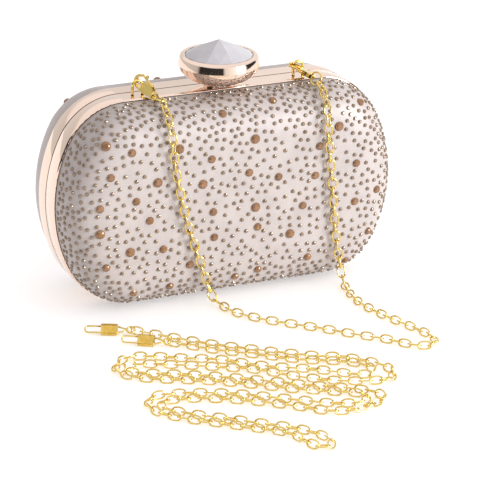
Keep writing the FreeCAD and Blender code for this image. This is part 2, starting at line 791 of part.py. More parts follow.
def ring_of(count, radius, z, turn_share=0.0):
    points = []
    for number in range(count):
        angle = 2 * math.pi * (number + turn_share) / count
        points.append(Vector(radius * math.cos(angle), radius * math.sin(angle), z))
    return points


def knob_cup():
    """A bowl on a small foot, open at the top, with a sloping seat for the crystal."""
    radius = size("cup_radius").number
    rise = size("cup_rise").number
    wall = size("cup_wall").number
    rim = size("rim_rise").number
    slope = size("pavilion_drop").number / size("crystal_radius").number
    seat = crystal_seat.number - size("glue_line").number
    fit = size("setting_fit").number
    seat_radius = size("crystal_radius").number + fit
    ledge = size("crystal_radius").number - wall
    profile = [(size("foot_radius").number, 0)]
    profile += [(radius * radius_share, rise * rise_share) for radius_share, rise_share in BOWL_SHARES]
    profile += [(size("rim_radius").number, rim), (seat_radius, rim), (seat_radius, seat + fit * slope)]
    profile += [(ledge, seat - wall * slope), (ledge, seat - wall * 2)]
    profile += [(radius * radius_share, rise * rise_share) for radius_share, rise_share in HOLLOW_SHARES]
    profile.append((size("foot_radius").number, wall * 2))
    rings = [ring_of(CUP_SIDES, ring_radius, z) for ring_radius, z in profile]
    faces = [rings[0][::-1], rings[-1]]
    for ring, following in zip(rings, rings[1:]):
        for number in range(CUP_SIDES):
            other = (number + 1) % CUP_SIDES
            faces.append([ring[number], ring[other], following[other], following[number]])
    feature = solid_feature("knob_cup", polyhedron(faces))
    move(feature, 0, pivot_y, foot_z)
    return feature


def knob_crystal():
    """A pointed crystal: eight kites meet in its apex, with sixteen small facets round them."""
    radius = size("crystal_radius").number
    girdle = size("girdle_rise").number
    rise = size("crown_rise").number
    count = KITE_COUNT
    half_turn = math.pi / count
    apex = Vector(0, 0, girdle + rise)
    middle_radius = radius * KITE_SHARE
    middle_z = girdle + rise * (1 - KITE_SHARE * math.cos(half_turn))
    middles = ring_of(count, middle_radius, middle_z)
    upper = ring_of(count * 2, radius, girdle)
    lower = ring_of(count * 2, radius, 0)
    culet = Vector(0, 0, -size("pavilion_drop").number)
    faces = []
    for number in range(count):
        following = (number + 1) % count
        at = number * 2
        tip = upper[at + 1]
        faces.append([apex, middles[number], tip, middles[following]])
        faces.append([middles[number], upper[at], tip])
        faces.append([middles[following], tip, upper[(at + 2) % len(upper)]])
    for number in range(count * 2):
        following = (number + 1) % (count * 2)
        faces.append([upper[number], lower[number], lower[following], upper[following]])
        faces.append([culet, lower[following], lower[number]])
    feature = solid_feature("knob_crystal", polyhedron(faces))
    move(feature, 0, pivot_y, foot_z + crystal_seat)
    return feature


# Wires with a few flat sides, bent at the corners of a flat path
def wire_solid(points, normal, section, closed):
    """Carries a section along a path; its corners are pairs of reach beside and along the normal."""
    count = len(points)
    rings = []
    for number in range(count):
        point = points[number]
        sides = []
        if closed or number > 0:
            sides.append((point - points[number - 1]).normalize().cross(normal))
        if closed or number < count - 1:
            sides.append((points[(number + 1) % count] - point).normalize().cross(normal))
        if len(sides) == 2:
            mitre = (sides[0] + sides[1]) / (1 + sides[0].dot(sides[1]))
        else:
            mitre = sides[0]
        rings.append([point + mitre * beside + normal * along for beside, along in section])
    faces = []
    spans = count if closed else count - 1
    for number in range(spans):
        ring = rings[number]
        following = rings[(number + 1) % count]
        for corner in range(len(section)):
            other = (corner + 1) % len(section)
            faces.append([ring[corner], ring[other], following[other], following[corner]])
    if not closed:
        faces.append(rings[0][::-1])
        faces.append(rings[-1])
    return polyhedron(faces)


def wire_section(sides, half_width):
    """A regular section whose flat sides lie half a width from its middle."""
    reach = half_width / math.cos(math.pi / sides)
    section = []
    for number in range(sides):
        angle = math.pi / 2 + math.pi * (2 * number + 1) / sides
        section.append((reach * math.cos(angle), reach * math.sin(angle)))
    return section


def chain_bails():
    """Two wire loops, whose legs go through the front frame and are headed inside it."""
    radius = size("bail_wire").number / 2
    half = size("bail_width").number / 2
    top = case_top.number + size("bail_rise").number - radius
    low = inner_top.number - size("bail_peen").number
    section = wire_section(BAIL_SIDES, radius * math.cos(math.pi / BAIL_SIDES))
    solids = []
    for side in (-1, 1):
        centre = size("bail_spacing").number / 2 * side
        points = [Vector(centre - half, pivot_y.number, low)]
        for step in range(ARCH_STEPS + 1):
            angle = math.pi * (1 - step / ARCH_STEPS)
            x = centre + half * math.cos(angle)
            points.append(Vector(x, pivot_y.number, top - half + half * math.sin(angle)))
        points.append(Vector(centre + half, pivot_y.number, low))
        loop = wire_solid(points, Vector(0, 1, 0), section, False)
        for leg in (-1, 1):
            head = Part.makeBox(PEEN_SHARE * radius * 2, PEEN_SHARE * radius * 2, inner_top.number - low)
            head.translate(Vector(centre + half * leg - PEEN_SHARE * radius, pivot_y.number - PEEN_SHARE * radius, low))
            loop = loop.fuse(head)
        solids.append(loop.removeSplitter())
    return solid_feature("chain_bails", Part.Compound(solids))


# Faceted stones, each glued flat on the shell below it
def dome_point(x, z):
    """The place on the front dome at a height above the outline's middle, and the way it faces."""
    inset = outline_inset(x, z)
    out_x = (inset - outline_inset(x + FINE, z)) / FINE
    out_z = (inset - outline_inset(x, z + FINE)) / FINE
    outward = Vector(out_x, 0, out_z).normalize()
    wide = size("dome_bevel").number
    narrow = size("dome_edge_bevel").number
    top = dome_top.number
    rim = shell_rim.number
    bend = narrow / math.sqrt(2)
    profile = [(0, top - wide - narrow), (bend, top - wide + bend), (wide - bend, top - bend)]
    profile += [(wide + narrow, top), (half_height.number, top)]
    for (start, depth), (end, end_depth) in zip(profile, profile[1:]):
        if inset - rim <= end:
            lean = math.atan2(end_depth - depth, end - start)
            share = (inset - rim - start) / (end - start)
            place = Vector(x, -depth - (end_depth - depth) * share, z)
            return place, outward * math.sin(lean) - Vector(0, math.cos(lean), 0)


def stone_solid(x, z, radius):
    place, facing = dome_point(x, z)
    place = place + facing * size("glue_line").number
    foot = ring_of(STONE_SIDES, radius, 0)
    table = ring_of(STONE_SIDES, radius * TABLE_SHARE, size("stone_rise").number)
    faces = [foot[::-1], table]
    for number in range(STONE_SIDES):
        following = (number + 1) % STONE_SIDES
        faces.append([foot[number], foot[following], table[following], table[number]])
    turn = Rotation(Vector(0, 0, 1), facing)
    solid = polyhedron(faces)
    solid.Placement = Placement(place, turn)
    return solid


def stone_set(label, alias, place_shares, rear):
    radius = size(alias).number
    solids = []
    for x_share, z_share in place_shares:
        x = half_length.number * x_share
        z = half_height.number * z_share
        solids.append(stone_solid(x, z, radius))
    feature = solid_feature(label, Part.Compound(solids))
    move(feature, 0, 0, half_height, rear)
    return feature


# Lobster clasps, drawn flat: first coordinate from the claw's top to the tail, second to the gate
def turn_to(axis_shares, side_shares):
    """The turn that brings a flat piece's length and side along two directions."""
    axis = Vector(*axis_shares).normalize()
    side = Vector(*side_shares)
    side = (side - axis * side.dot(axis)).normalize()
    return Rotation(axis, side, axis.cross(side), "XYZ")


def sheet_place(prefix):
    return Vector(size(prefix + "_x").number, size(prefix + "_y").number, size(prefix + "_z").number)


def place_flat(thing, prefix, axis_shares, side_shares):
    """Stands a flat piece at its place in the sheet, with its length and side along two directions."""
    turn = turn_to(axis_shares, side_shares)
    thing.Placement = Placement(sheet_place(prefix), turn)
    bind(thing, "Placement.Base.x", size(prefix + "_x"))
    bind(thing, "Placement.Base.y", size(prefix + "_y"))
    bind(thing, "Placement.Base.z", size(prefix + "_z"))


def flat_polygon(body, name, shares, scale, wall):
    sketch = new_sketch(body, name, "XY_Plane", -wall / 2)
    draw_polygon(sketch, [(scale * along, scale * beside) for along, beside in shares])
    pad(body, sketch, wall)
    return sketch


def clasp_body(label, prefix, axis_shares, side_shares):
    body = new_body(label)
    length = size("clasp_length")
    wall = size("clasp_wall")
    flat_polygon(body, "outline", CLASP_OUTLINE_SHARES, length, wall)
    eye = new_sketch(body, "eye", "XY_Plane", wall)
    draw_octagon(eye, length * EYE_PLACE_SHARE, 0, size("clasp_eye_radius"))
    pocket(body, eye, wall * 2)
    slot_half = size("gate_wall") / 2 + size("gate_side_fit")
    slot = new_sketch(body, "slot", "XY_Plane", slot_half)
    start, end, low, high = [length * share for share in GATE_SLOT_SHARES]
    draw_polygon(slot, [(start, low), (end, low), (end, high), (start, high)])
    pocket(body, slot, slot_half * 2)
    pin = new_sketch(body, "pin", "XY_Plane", -wall / 2)
    along, beside = GATE_PIVOT_SHARES
    draw_circle(pin, length * along, length * beside, size("gate_pin_radius"))
    pad(body, pin, wall)
    place_flat(body, prefix, axis_shares, side_shares)
    return body


def clasp_gate(label, prefix, axis_shares, side_shares):
    body = new_body(label)
    length = size("clasp_length")
    wall = size("gate_wall")
    flat_polygon(body, "outline", GATE_OUTLINE_SHARES, length, wall)
    bore = new_sketch(body, "bore", "XY_Plane", wall)
    along, beside = GATE_PIVOT_SHARES
    radius = size("gate_pin_radius") + size("running_clearance")
    draw_circle(bore, length * along, length * beside, radius)
    pocket(body, bore, wall * 2)
    place_flat(body, prefix, axis_shares, side_shares)
    return body


# Jump rings and chain links: flat-sided wire
def closed_ring(count, radius, section, turn_share):
    points = ring_of(count, radius, 0, turn_share)
    return wire_solid(points, Vector(0, 0, 1), section, True)


def ring_place(prefix, axis_shares, way_shares):
    """Where a jump ring lies: its wire goes through the middle of its clasp's eye."""
    radius = size("jump_ring_radius").number
    half = size("clasp_wall").number / 2
    reach = (radius + math.sqrt(radius * radius - half * half)) / 2
    eye = Vector(*axis_shares).normalize() * size("clasp_length").number * EYE_PLACE_SHARE
    return sheet_place(prefix) + eye + Vector(*way_shares).normalize() * reach


def jump_ring(label, place, way_shares, side_shares):
    section = wire_section(LINK_SIDES, size("link_wire").number / 2 * RING_WIRE_SHARE)
    radius = size("jump_ring_radius").number
    feature = solid_feature(label, closed_ring(RING_CORNERS, radius, section, HALF_STEP_SHARE))
    feature.Placement = Placement(place, turn_to(way_shares, side_shares))
    return feature


def route_points(route_shares):
    """The hand-picked points of a chain's route."""
    scale = size("case_length").number
    points = []
    for shares in route_shares:
        if len(shares) == 3:
            points.append(Vector(*shares) * scale)
        else:
            points.append(Vector(shares[0] * scale, shares[1] * scale, size("floor_lift").number))
    return points


def route_curve(poles):
    """A smooth curve that a chain's middle follows."""
    spans = len(poles) - 2
    knots = [float(number) for number in range(spans + 1)]
    multiplicities = [3] + [1] * (spans - 1) + [3]
    curve = Part.BSplineCurve()
    curve.buildFromPolesMultsKnots(poles, multiplicities, knots, False, 2)
    return curve


def chain_link():
    """One oval link, its length along X: two short ends, and sides that bend in their middle."""
    wire = size("link_wire").number
    reach = size("link_length").number / 2 - wire / 2
    side = size("link_width").number / 2 - wire / 2
    end = side * LINK_END_SHARE
    corners = [(reach, end), (0, side), (-reach, end), (-reach, -end), (0, -side), (reach, -end)]
    points = [Vector(along, beside, 0) for along, beside in corners]
    section = wire_section(LINK_SIDES, wire / 2 * LINK_WIRE_SHARE)
    return wire_solid(points, Vector(0, 0, 1), section, True)


def ring_hold(ring, way_shares, side_shares, following):
    """Where a jump ring's wire goes through the chain's last link, and how it runs there."""
    normal = turn_to(way_shares, side_shares).multVec(Vector(0, 0, 1))
    out = following - ring
    out = (out - normal * out.dot(normal)).normalize()
    return ring + out * size("jump_ring_radius").number, normal.cross(out)


def twist_across(along, facing, wire_way, roll):
    """The further roll, in half turns, that stands a link across a ring's wire."""
    side = wire_way.cross(along)
    needed = math.atan2(along.dot(facing.cross(side)), facing.dot(side)) / math.pi - roll
    return needed - round(needed)


def short_chain():
    """Links along the route, each rolled a quarter turn from the last; the end ones stand across
    their jump rings, and the links next to them follow by degrees."""
    poles = route_points(SHORT_ROUTE_SHARES)
    wire = size("link_wire").number
    reach = (size("link_length").number - wire) / 2 - wire - size("link_slack").number
    left_hold, left_way = ring_hold(left_ring_place, LEFT_RING_SHARES, LEFT_RING_SIDE_SHARES, poles[0])
    right_hold, right_way = ring_hold(right_ring_place, RIGHT_RING_SHARES, RIGHT_RING_SIDE_SHARES, poles[-1])
    first = left_hold + (poles[0] - left_hold).normalize() * reach
    last = right_hold + (poles[-1] - right_hold).normalize() * reach
    curve = route_curve([first] + poles + [last])
    count = round(curve.length() / size("link_pitch").number)
    step = curve.length() / count
    facing = Vector(0, -1, 0)
    stations = []
    for number in range(count + 1):
        at = curve.parameterAtDistance(step * number, curve.FirstParameter)
        along = Vector(*curve.tangent(at)[0]).normalize()
        facing = (facing - along * facing.dot(along)).normalize()
        stations.append((curve.value(at), along, facing, ROLL_SHARE if number % 2 else -ROLL_SHARE))
    start_twist = twist_across(stations[0][1], stations[0][2], left_way, stations[0][3])
    end_twist = twist_across(stations[-1][1], stations[-1][2], right_way, stations[-1][3])
    link = chain_link()
    links = []
    for number, (place, along, facing, roll) in enumerate(stations):
        roll += start_twist * max(0, 1 - number / TWIST_LINKS)
        roll += end_twist * max(0, 1 - (count - number) / TWIST_LINKS)
        side = Rotation(along, roll * 180).multVec(facing)
        turn = Rotation(along, side, along.cross(side), "XYZ")
        copy = link.copy()
        copy.Placement = Placement(place, turn)
        links.append(copy)
    return solid_feature("short_chain", Part.Compound(links))


def long_chain():
    """The long chain as one flat-sided cord on the floor; its links are drawn over it."""
    curve = route_curve(route_points(LONG_ROUTE_SHARES))
    half = size("floor_lift").number
    spans = len(LONG_ROUTE_SHARES) - 2
    points = []
    for number in range(spans * CORD_STEPS + 1):
        points.append(curve.value(number / CORD_STEPS))
    section = wire_section(CORD_SIDES, half)
    return solid_feature("long_chain", wire_solid(points, Vector(0, 0, 1), section, False))


# Clips of the long chain: a flat wire hook, closed by a sleeve that slides back along its shank
def clip_hook(label, prefix, axis_shares):
    body = new_body(label)
    length = size("clip_length")
    wall = size("clip_wire")
    flat_polygon(body, "outline", HOOK_OUTLINE_SHARES, length, wall)
    eye = new_sketch(body, "eye", "XY_Plane", wall)
    draw_octagon(eye, length * HOOK_EYE_SHARE, 0, size("clip_eye_radius"))
    pocket(body, eye, wall * 2)
    place_flat(body, prefix, axis_shares, (-axis_shares[1], axis_shares[0], 0))
    return body


def clip_sleeve(label, prefix, axis_shares):
    body = new_body(label)
    length = size("clip_length")
    start = length * SLEEVE_START_SHARE
    end = start + size("sleeve_length")
    inner_side = size("clip_width") / 2 + size("sleeve_fit")
    inner_rise = size("clip_wire") / 2 + size("sleeve_fit")
    outer_side = inner_side + size("sleeve_wall")
    outer_rise = inner_rise + size("sleeve_wall")
    sketch = new_sketch(body, "outline", "XY_Plane", -outer_rise)
    draw_polygon(sketch, [(start, -outer_side), (end, -outer_side), (end, outer_side), (start, outer_side)])
    pad(body, sketch, outer_rise * 2)
    span = size("sleeve_length").number

    def is_long(edge):
        return abs(edge.BoundBox.XLength - span) < FINE

    dress_edges(body, "bevel", size("sleeve_bevel"), [is_long])
    bore = new_sketch(body, "bore", "YZ_Plane", end + size("overrun"))
    corners = [(-inner_side, -inner_rise), (inner_side, -inner_rise), (inner_side, inner_rise), (-inner_side, inner_rise)]
    draw_polygon(bore, corners)
    pocket(body, bore, size("sleeve_length") + size("overrun") * 2)
    place_flat(body, prefix, axis_shares, (-axis_shares[1], axis_shares[0], 0))
    return body


LEFT_CLASP = ("left_clasp", LEFT_AXIS_SHARES, LEFT_SIDE_SHARES)
RIGHT_CLASP = ("right_clasp", RIGHT_AXIS_SHARES, RIGHT_SIDE_SHARES)
left_ring_place = ring_place("left_clasp", LEFT_AXIS_SHARES, LEFT_RING_SHARES)
right_ring_place = ring_place("right_clasp", RIGHT_AXIS_SHARES, RIGHT_RING_SHARES)
parts = [
    frame_band("front_frame", False),
    frame_band("rear_frame", True),
    domed_shell("front_shell", False),
    domed_shell("rear_shell", True),
    lining_tray("front_lining", False),
    lining_tray("rear_lining", True),
    hinge_leaf("front_hinge_leaf", (0, 2), -1),
    hinge_leaf("rear_hinge_leaf", (1,), 1),
    hinge_pin(),
    clasp_plate(),
    clasp_bracket(),
    clasp_pivot_pin(),
    clasp_lever(),
    clasp_spring(),
    catch_spring(),
    knob_cup(),
    knob_crystal(),
    chain_bails(),
    stone_set("front_large_stones", "large_stone_radius", LARGE_STONE_SHARES, False),
    stone_set("front_medium_stones", "medium_stone_radius", MEDIUM_STONE_SHARES, False),
    stone_set("rear_large_stones", "large_stone_radius", LARGE_STONE_SHARES, True),
    stone_set("rear_medium_stones", "medium_stone_radius", MEDIUM_STONE_SHARES, True),
    clasp_body("left_clasp_body", *LEFT_CLASP),
    clasp_gate("left_clasp_gate", *LEFT_CLASP),
    clasp_body("right_clasp_body", *RIGHT_CLASP),
    clasp_gate("right_clasp_gate", *RIGHT_CLASP),
    jump_ring("left_jump_ring", left_ring_place, LEFT_RING_SHARES, LEFT_RING_SIDE_SHARES),
    jump_ring("right_jump_ring", right_ring_place, RIGHT_RING_SHARES, RIGHT_RING_SIDE_SHARES),
    short_chain(),
    long_chain(),
    clip_hook("first_clip_hook", "first_clip", FIRST_CLIP_SHARES),
    clip_sleeve("first_clip_sleeve", "first_clip", FIRST_CLIP_SHARES),
    clip_hook("second_clip_hook", "second_clip", SECOND_CLIP_SHARES),
    clip_sleeve("second_clip_sleeve", "second_clip", SECOND_CLIP_SHARES),
]
doc.recompute()

# Nothing is written unless every object is sound
faults = []
for thing in doc.Objects:
    if "Invalid" in thing.State or "Error" in thing.State:
        faults.append(thing.Name + " failed")
for thing in parts:
    if thing.Shape.isNull() or not thing.Shape.isValid() or not thing.Shape.Solids:
        faults.append(thing.Label + " has no valid solid")
if faults:
    raise RuntimeError(", ".join(faults))

os.makedirs("parts", exist_ok=True)
for thing in parts:
    thing.Shape.exportStep("parts/" + thing.Label + ".step")
    print(thing.Label, len(thing.Shape.Solids), round(thing.Shape.Volume, 1))
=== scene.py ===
import math
import random

import bpy
from mathutils import Matrix, Vector


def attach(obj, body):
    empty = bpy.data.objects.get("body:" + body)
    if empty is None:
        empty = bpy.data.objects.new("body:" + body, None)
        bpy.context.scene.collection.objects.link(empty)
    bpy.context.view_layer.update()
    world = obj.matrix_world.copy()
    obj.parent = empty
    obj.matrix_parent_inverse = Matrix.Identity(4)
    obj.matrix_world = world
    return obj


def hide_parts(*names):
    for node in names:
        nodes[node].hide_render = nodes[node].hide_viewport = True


# Evening clutch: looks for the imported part. Lengths are millimetres until they reach a mesh.
MM = 0.001

# The camera's place in metres and two of its axes
CAMERA_PLACE = (-0.4722, -1.0690, 0.4838)
CAMERA_RIGHT = (0.91251, -0.40872, 0.01664)
CAMERA_BACK = (-0.38543, -0.84547, 0.36962)
CAMERA_LENS = 189.947

# The studio's light on matt surfaces, from the front right and from behind, the key light, and the
# floor's own light
SKY_WAY = (0.70, -0.55, 0.45)
SKY_BRIGHT = 1.4
BACK_WAY = (-0.50, 0.85, 0.20)
BACK_BRIGHT = 0.75
KEY_PLACE = (1.3, -1.45, 0.5)
KEY_SIZE = 0.8
KEY_POWER = 40
KEY_TARGET = (0, -0.03, 0.05)
FLOOR_POWER = 1.25
FLOOR_REACH = 9000

# Outline of the case, as in the part
HALF_LENGTH = 87.5
CASE_LENGTH = 2 * HALF_LENGTH
HALF_HEIGHT = 50.6
CORNER_RADIUS = 32.0
END_RADIUS = 74.5
END_CENTRE = HALF_LENGTH - END_RADIUS
CORNER_Z = HALF_HEIGHT - CORNER_RADIUS
CORNER_X = END_CENTRE + math.sqrt((END_RADIUS - CORNER_RADIUS) ** 2 - CORNER_Z ** 2)
TURN = math.atan2(CORNER_Z, CORNER_X - END_CENTRE)
OUTLINE_STEPS = 288

# The domed shells and their linings
BAND_FRONT = 10.15
SHELL_RIM = 1.3
SHELL_SEAT = 2.0
SHELL_WALL = 1.6
LINING_FIT = 0.2
LINING_WALL = 0.6
# Half width of the painted shadow line along the seam between the frames
SEAM_SHADOW_HALF_WIDTH = 0.45
DOME_DEPTH = 21.5
DOME_WIDTH = 26.5
DOME_POWER = 3.0
DOME_STEPS = 18
# Rows of each satin shell's skin next to the frame that are painted dark: a painted shadow in the gap
# between satin and frame
SHADOWED_RIM_ROWS = 3

# Knob: the bowl's section as (radius, height) from its foot to its widest place, its rim as steps of
# (tilt inward in degrees, length), and its hollow
PIVOT_Y = -5.0
FOOT_Z = 102.7
KNOB_SEAT = 13.2
BOWL_SIDE = (
    (7.2, 0.05), (7.2, 0.45), (6.9, 0.6), (6.1, 0.75), (6.0, 0.95), (7.6, 1.0), (9.5, 1.2), (11.5, 1.6),
    (13.4, 2.3), (15.2, 3.2), (16.9, 4.4), (18.3, 5.9), (19.3, 7.6), (19.8, 8.9), (20.0, 9.6),
)
BOWL_WIDEST = len(BOWL_SIDE) - 1
RIM_STEPS = ((10, 1.2), (12.5, 1.2), (16, 1.1), (27, 0.42), (40, 0.42), (54, 0.42), (68, 0.42), (82, 0.42))
BOWL_HOLLOW = (
    (16.9, 14.15), (16.5, 14.0), (16.5, 13.166), (15.4, 12.66), (15.4, 11.12), (18.0, 9.0), (14.6, 4.6),
    (5.0, 2.3),
)
BOWL_SHARP = 15
BOWL_SIDES = 96
CRYSTAL_RADIUS = 16.4
CRYSTAL_GIRDLE = 0.8
CRYSTAL_CROWN = 7.6
CRYSTAL_PAVILION = 7.5
KITE_COUNT = 8
KITE_SHARE = 0.56
# Which of the crystal's painted shades each kite and each small facet round them has, going round: the
# facets' lightness and darkness is painted reflection and shade
KITE_PAINTED_SHADES = (1, 2, 1, 1, 1, 2, 1, 0)
SMALL_FACET_PAINTED_SHADES = (0, 2, 1, 0, 3, 1, 0, 1, 0, 3, 0, 1, 1, 2, 0, 1)

# Bails, jump rings and clips
BAIL_X = 42.3
BAIL_HALF = 2.5
BAIL_WIRE = 0.68
BAIL_LOW = 99.6
BAIL_TOP = 108.5
BAIL_STEPS = 16
RING_RADIUS = 3.2
RING_WIRE = 0.42
RING_STEPS = 40
WIRE_SIDES = 12
LEFT_RING = ((-35.824, -17.052, 102.044), (0.474, -0.868, -0.147), (-0.835, -0.496, 0.237))
RIGHT_RING = ((45.472, -18.795, 103.186), (0.389, -0.908, -0.157), (-0.394, 0.066, -0.917))
FIRST_CLIP = ((-85.0, -44.0, 1.45), (0.908, -0.419, 0.0))
SECOND_CLIP = ((-73.0, -61.0, 1.45), (0.862, -0.507, 0.0))
CLIP_ROLL = math.radians(30)
CLIP_LIFT = 0.85

# Clip hook, measured along it from its origin: its bend, its two legs and the neck where they meet as
# (place, half distance), and the swivel's eye and barrel
HOOK_WIRE = 0.42
HOOK_HALF = 1.85
HOOK_BEND = 2.3
HOOK_BEND_STEPS = 12
HOOK_TIP = 9.3
LONG_LEG = (9, 14)
SHORT_LEG = (12.7, 15)
HOOK_NECK = ((16.4, 1.7), (18.4, 0.95), (20, 0.4))
HOOK_SIDES = 10
EYE_PLACE = 22.2
EYE_RADIUS = 1.75
EYE_WIRE = 0.5
EYE_STEPS = 24
BARREL_STOPS = (19.6, 19.75, 20.6, 20.75)
BARREL_RADIUS = 0.9
BARREL_SIDES = 16

# Sleeve of a clip: half width and half height of its bore, lip and ribs
SLEEVE_START = 8.0
SLEEVE_END = 16.0
SLEEVE_BORE = (2.34, 0.64)
SLEEVE_LIP = (2.9, 1.2)
SLEEVE_STEPS = 40
SLEEVE_POWER = 0.55
SLEEVE_SHARP = 35
RIBS = 13
RIBS_START = 8.2
RIBS_LENGTH = 7.6
RIB_WIDE = 3.15
RIB_HIGH = 1.42
RIB_TAPER = 0.06
# Each rib as (share of its pitch, growth)
RIB_PROFILE = ((0.0, -0.2), (0.3, 0.0), (0.7, 0.0), (1.0, -0.2))

# Chains. The routes are shares of the case's length, as in the part. They aren't hand-picked: programs
# turned points along the photographed chains into places, spaced the long one's runs and moved both
LINK_LENGTH = 7.05
LINK_WIDTH = 4.5
LINK_WIRE = 0.82
LINK_PITCH = 4.75
LINK_POWER = 2.35
SHORT_LINK_STEPS = 20
SHORT_LINK_SIDES = 8
SHORT_LEAN = 0.14
LONG_LINK_STEPS = 16
LONG_LINK_SIDES = 6
LONG_LEAN = 0.2
LEAN_SEED = 7
FLOOR_LIFT = 1.85
SHORT_START = (-35.772, -21.935, 101.096)
SHORT_END = (45.957, -23.167, 100.733)
TWIST_LINKS = 8
START_TWIST = 0.2053
END_TWIST = 0.3225
TWIST_OFFSET = 0.25
SHORT_ROUTE_SHARES = (
    (-0.208, -0.17, 0.555), (-0.205, -0.199, 0.5), (-0.2, -0.194, 0.434), (-0.187, -0.194, 0.366),
    (-0.17, -0.194, 0.286), (-0.146, -0.194, 0.206), (-0.117, -0.194, 0.12), (-0.098, -0.194, 0.062),
    (-0.086, -0.206, 0.02), (-0.072, -0.236), (-0.062, -0.29), (-0.012, -0.363), (0.054, -0.425),
    (0.12, -0.485), (0.186, -0.557), (0.252, -0.614), (0.282, -0.663), (0.334, -0.698), (0.374, -0.655),
    (0.356, -0.588), (0.329, -0.514), (0.304, -0.437), (0.289, -0.36), (0.294, -0.289), (0.305, -0.238),
    (0.313, -0.207, 0.02), (0.309, -0.194, 0.062), (0.296, -0.194, 0.137), (0.286, -0.194, 0.217),
    (0.278, -0.194, 0.303), (0.27, -0.194, 0.383), (0.262, -0.194, 0.451), (0.258, -0.198, 0.506),
    (0.259, -0.173, 0.558),
)
LONG_ROUTE_SHARES = (
    (-0.355, -0.311), (-0.288, -0.38), (-0.207, -0.465), (-0.11, -0.539), (-0.065, -0.577),
    (0.039, -0.649), (0.084, -0.666), (0.16, -0.746), (0.17, -0.806), (0.134, -0.848), (0.026, -0.814),
    (-0.072, -0.747), (-0.157, -0.657), (-0.259, -0.598), (-0.31, -0.569), (-0.405, -0.521),
    (-0.452, -0.505), (-0.484, -0.53), (-0.455, -0.563), (-0.385, -0.595), (-0.279, -0.653),
    (-0.177, -0.722), (-0.072, -0.798), (-0.017, -0.828), (0.066, -0.89), (0.076, -0.928),
    (0.057, -0.951), (-0.034, -0.975), (-0.094, -0.956), (-0.14, -0.912), (-0.235, -0.835),
    (-0.352, -0.765), (-0.459, -0.738), (-0.48, -0.774), (-0.436, -0.829), (-0.344, -0.902),
    (-0.298, -0.941), (-0.202, -1.019), (-0.159, -1.092), (-0.165, -1.128), (-0.201, -1.132),
    (-0.221, -1.094), (-0.235, -1.03), (-0.312, -0.969), (-0.388, -0.906), (-0.465, -0.843),
    (-0.504, -0.787), (-0.501, -0.744), (-0.483, -0.714), (-0.447, -0.704), (-0.349, -0.732),
    (-0.261, -0.777), (-0.166, -0.846), (-0.066, -0.919), (-0.011, -0.939), (0.033, -0.929),
    (0.034, -0.892), (-0.018, -0.863), (-0.121, -0.803), (-0.171, -0.764), (-0.243, -0.712),
    (-0.345, -0.652), (-0.461, -0.599), (-0.513, -0.523), (-0.45, -0.455), (-0.388, -0.472),
    (-0.286, -0.534), (-0.228, -0.556), (-0.16, -0.622), (-0.112, -0.659), (-0.007, -0.719),
    (0.061, -0.779), (0.103, -0.797), (0.127, -0.772), (0.115, -0.731), (0.076, -0.696),
    (-0.032, -0.643), (-0.122, -0.568), (-0.226, -0.492), (-0.2926, -0.4203),
)

# Places of the big stones, as shares of the outline's half length and half height, as in the part. A
# program worked them out from spots in the photograph
LARGE_STONE_SHARES = (
    (-0.359, 0.604), (0.091, 0.604), (0.601, 0.619), (-0.485, 0.301), (-0.219, 0.223),
    (0.1, -0.087), (0.314, -0.411), (-0.645, -0.359), (-0.771, 0.703), (-0.817, -0.141),
)
MEDIUM_STONE_SHARES = (
    (0.227, 0.915), (-0.085, 0.866), (-0.633, 0.626), (0.483, 0.446), (-0.168, 0.461),
    (0.057, 0.275), (0.236, 0.191), (0.461, 0.152), (0.715, 0.219), (-0.61, 0.141),
    (0.857, -0.095), (0.713, -0.175), (0.389, -0.139), (-0.155, -0.073), (-0.531, -0.069),
    (0.114, -0.291), (-0.148, -0.332), (-0.451, -0.377), (0.814, -0.526), (0.43, -0.689),
    (-0.293, -0.577), (0.127, -0.744), (-0.009, -0.787), (-0.402, -0.783), (-0.614, -0.803),
    (0.685, -0.808), (-0.755, 0.409), (-0.817, 0.111), (-0.781, -0.491), (0.758, 0.796),
)
BIG_STONE_TURN = 0.7
LARGE_RADIUS = 2.35
LARGE_RISE = 1.5
MEDIUM_RADIUS = 2.0
MEDIUM_RISE = 1.35
TOPAZ_SIDES = 12
SMALL_RADIUS = 1.0
SMALL_RISE = 0.8
SMALL_SIDES = 10
# Rings of a cut stone as (share of its radius, share of its height, turn in sides)
TOPAZ_TIERS = ((1.0, 0.0, 0), (1.0, 0.22, 0), (0.86, 0.62, 0.5), (0.55, 1.0, 0))
SMALL_TIERS = ((1.0, 0.0, 0), (1.0, 0.35, 0), (0.84, 0.78, 0), (0.5, 1.0, 0))

# How the small stones are strewn: the places tried, the share tried on the flat top, the distances kept
# clear at the rims, and the room that each stone takes, which grows from ROOM_START inward over
# ROOM_GROWTH. Neighbours are looked for within SEARCH_REACH, in a grid of CELL
FRONT_SEED = 5
REAR_SEED = 11
TRIES = 40000
FLAT_SHARE = 0.62
RIM_CLEAR = 1.0
REAR_BARE = 12.0
ROOM = 2.75
MORE_ROOM = 1.05
ROOM_START = 6
ROOM_GROWTH = 22
BIG_STONE_ROOM = 0.75
SEARCH_REACH = 8
CELL = 5.0

# Rounding of the edges of parts that keep their own shapes
CLASP_EASE = 0.32
FRAME_EASE = 0.2
EASE_ANGLE = 28
EASE_SEGMENTS = 2
WELD_REACH = 0.01

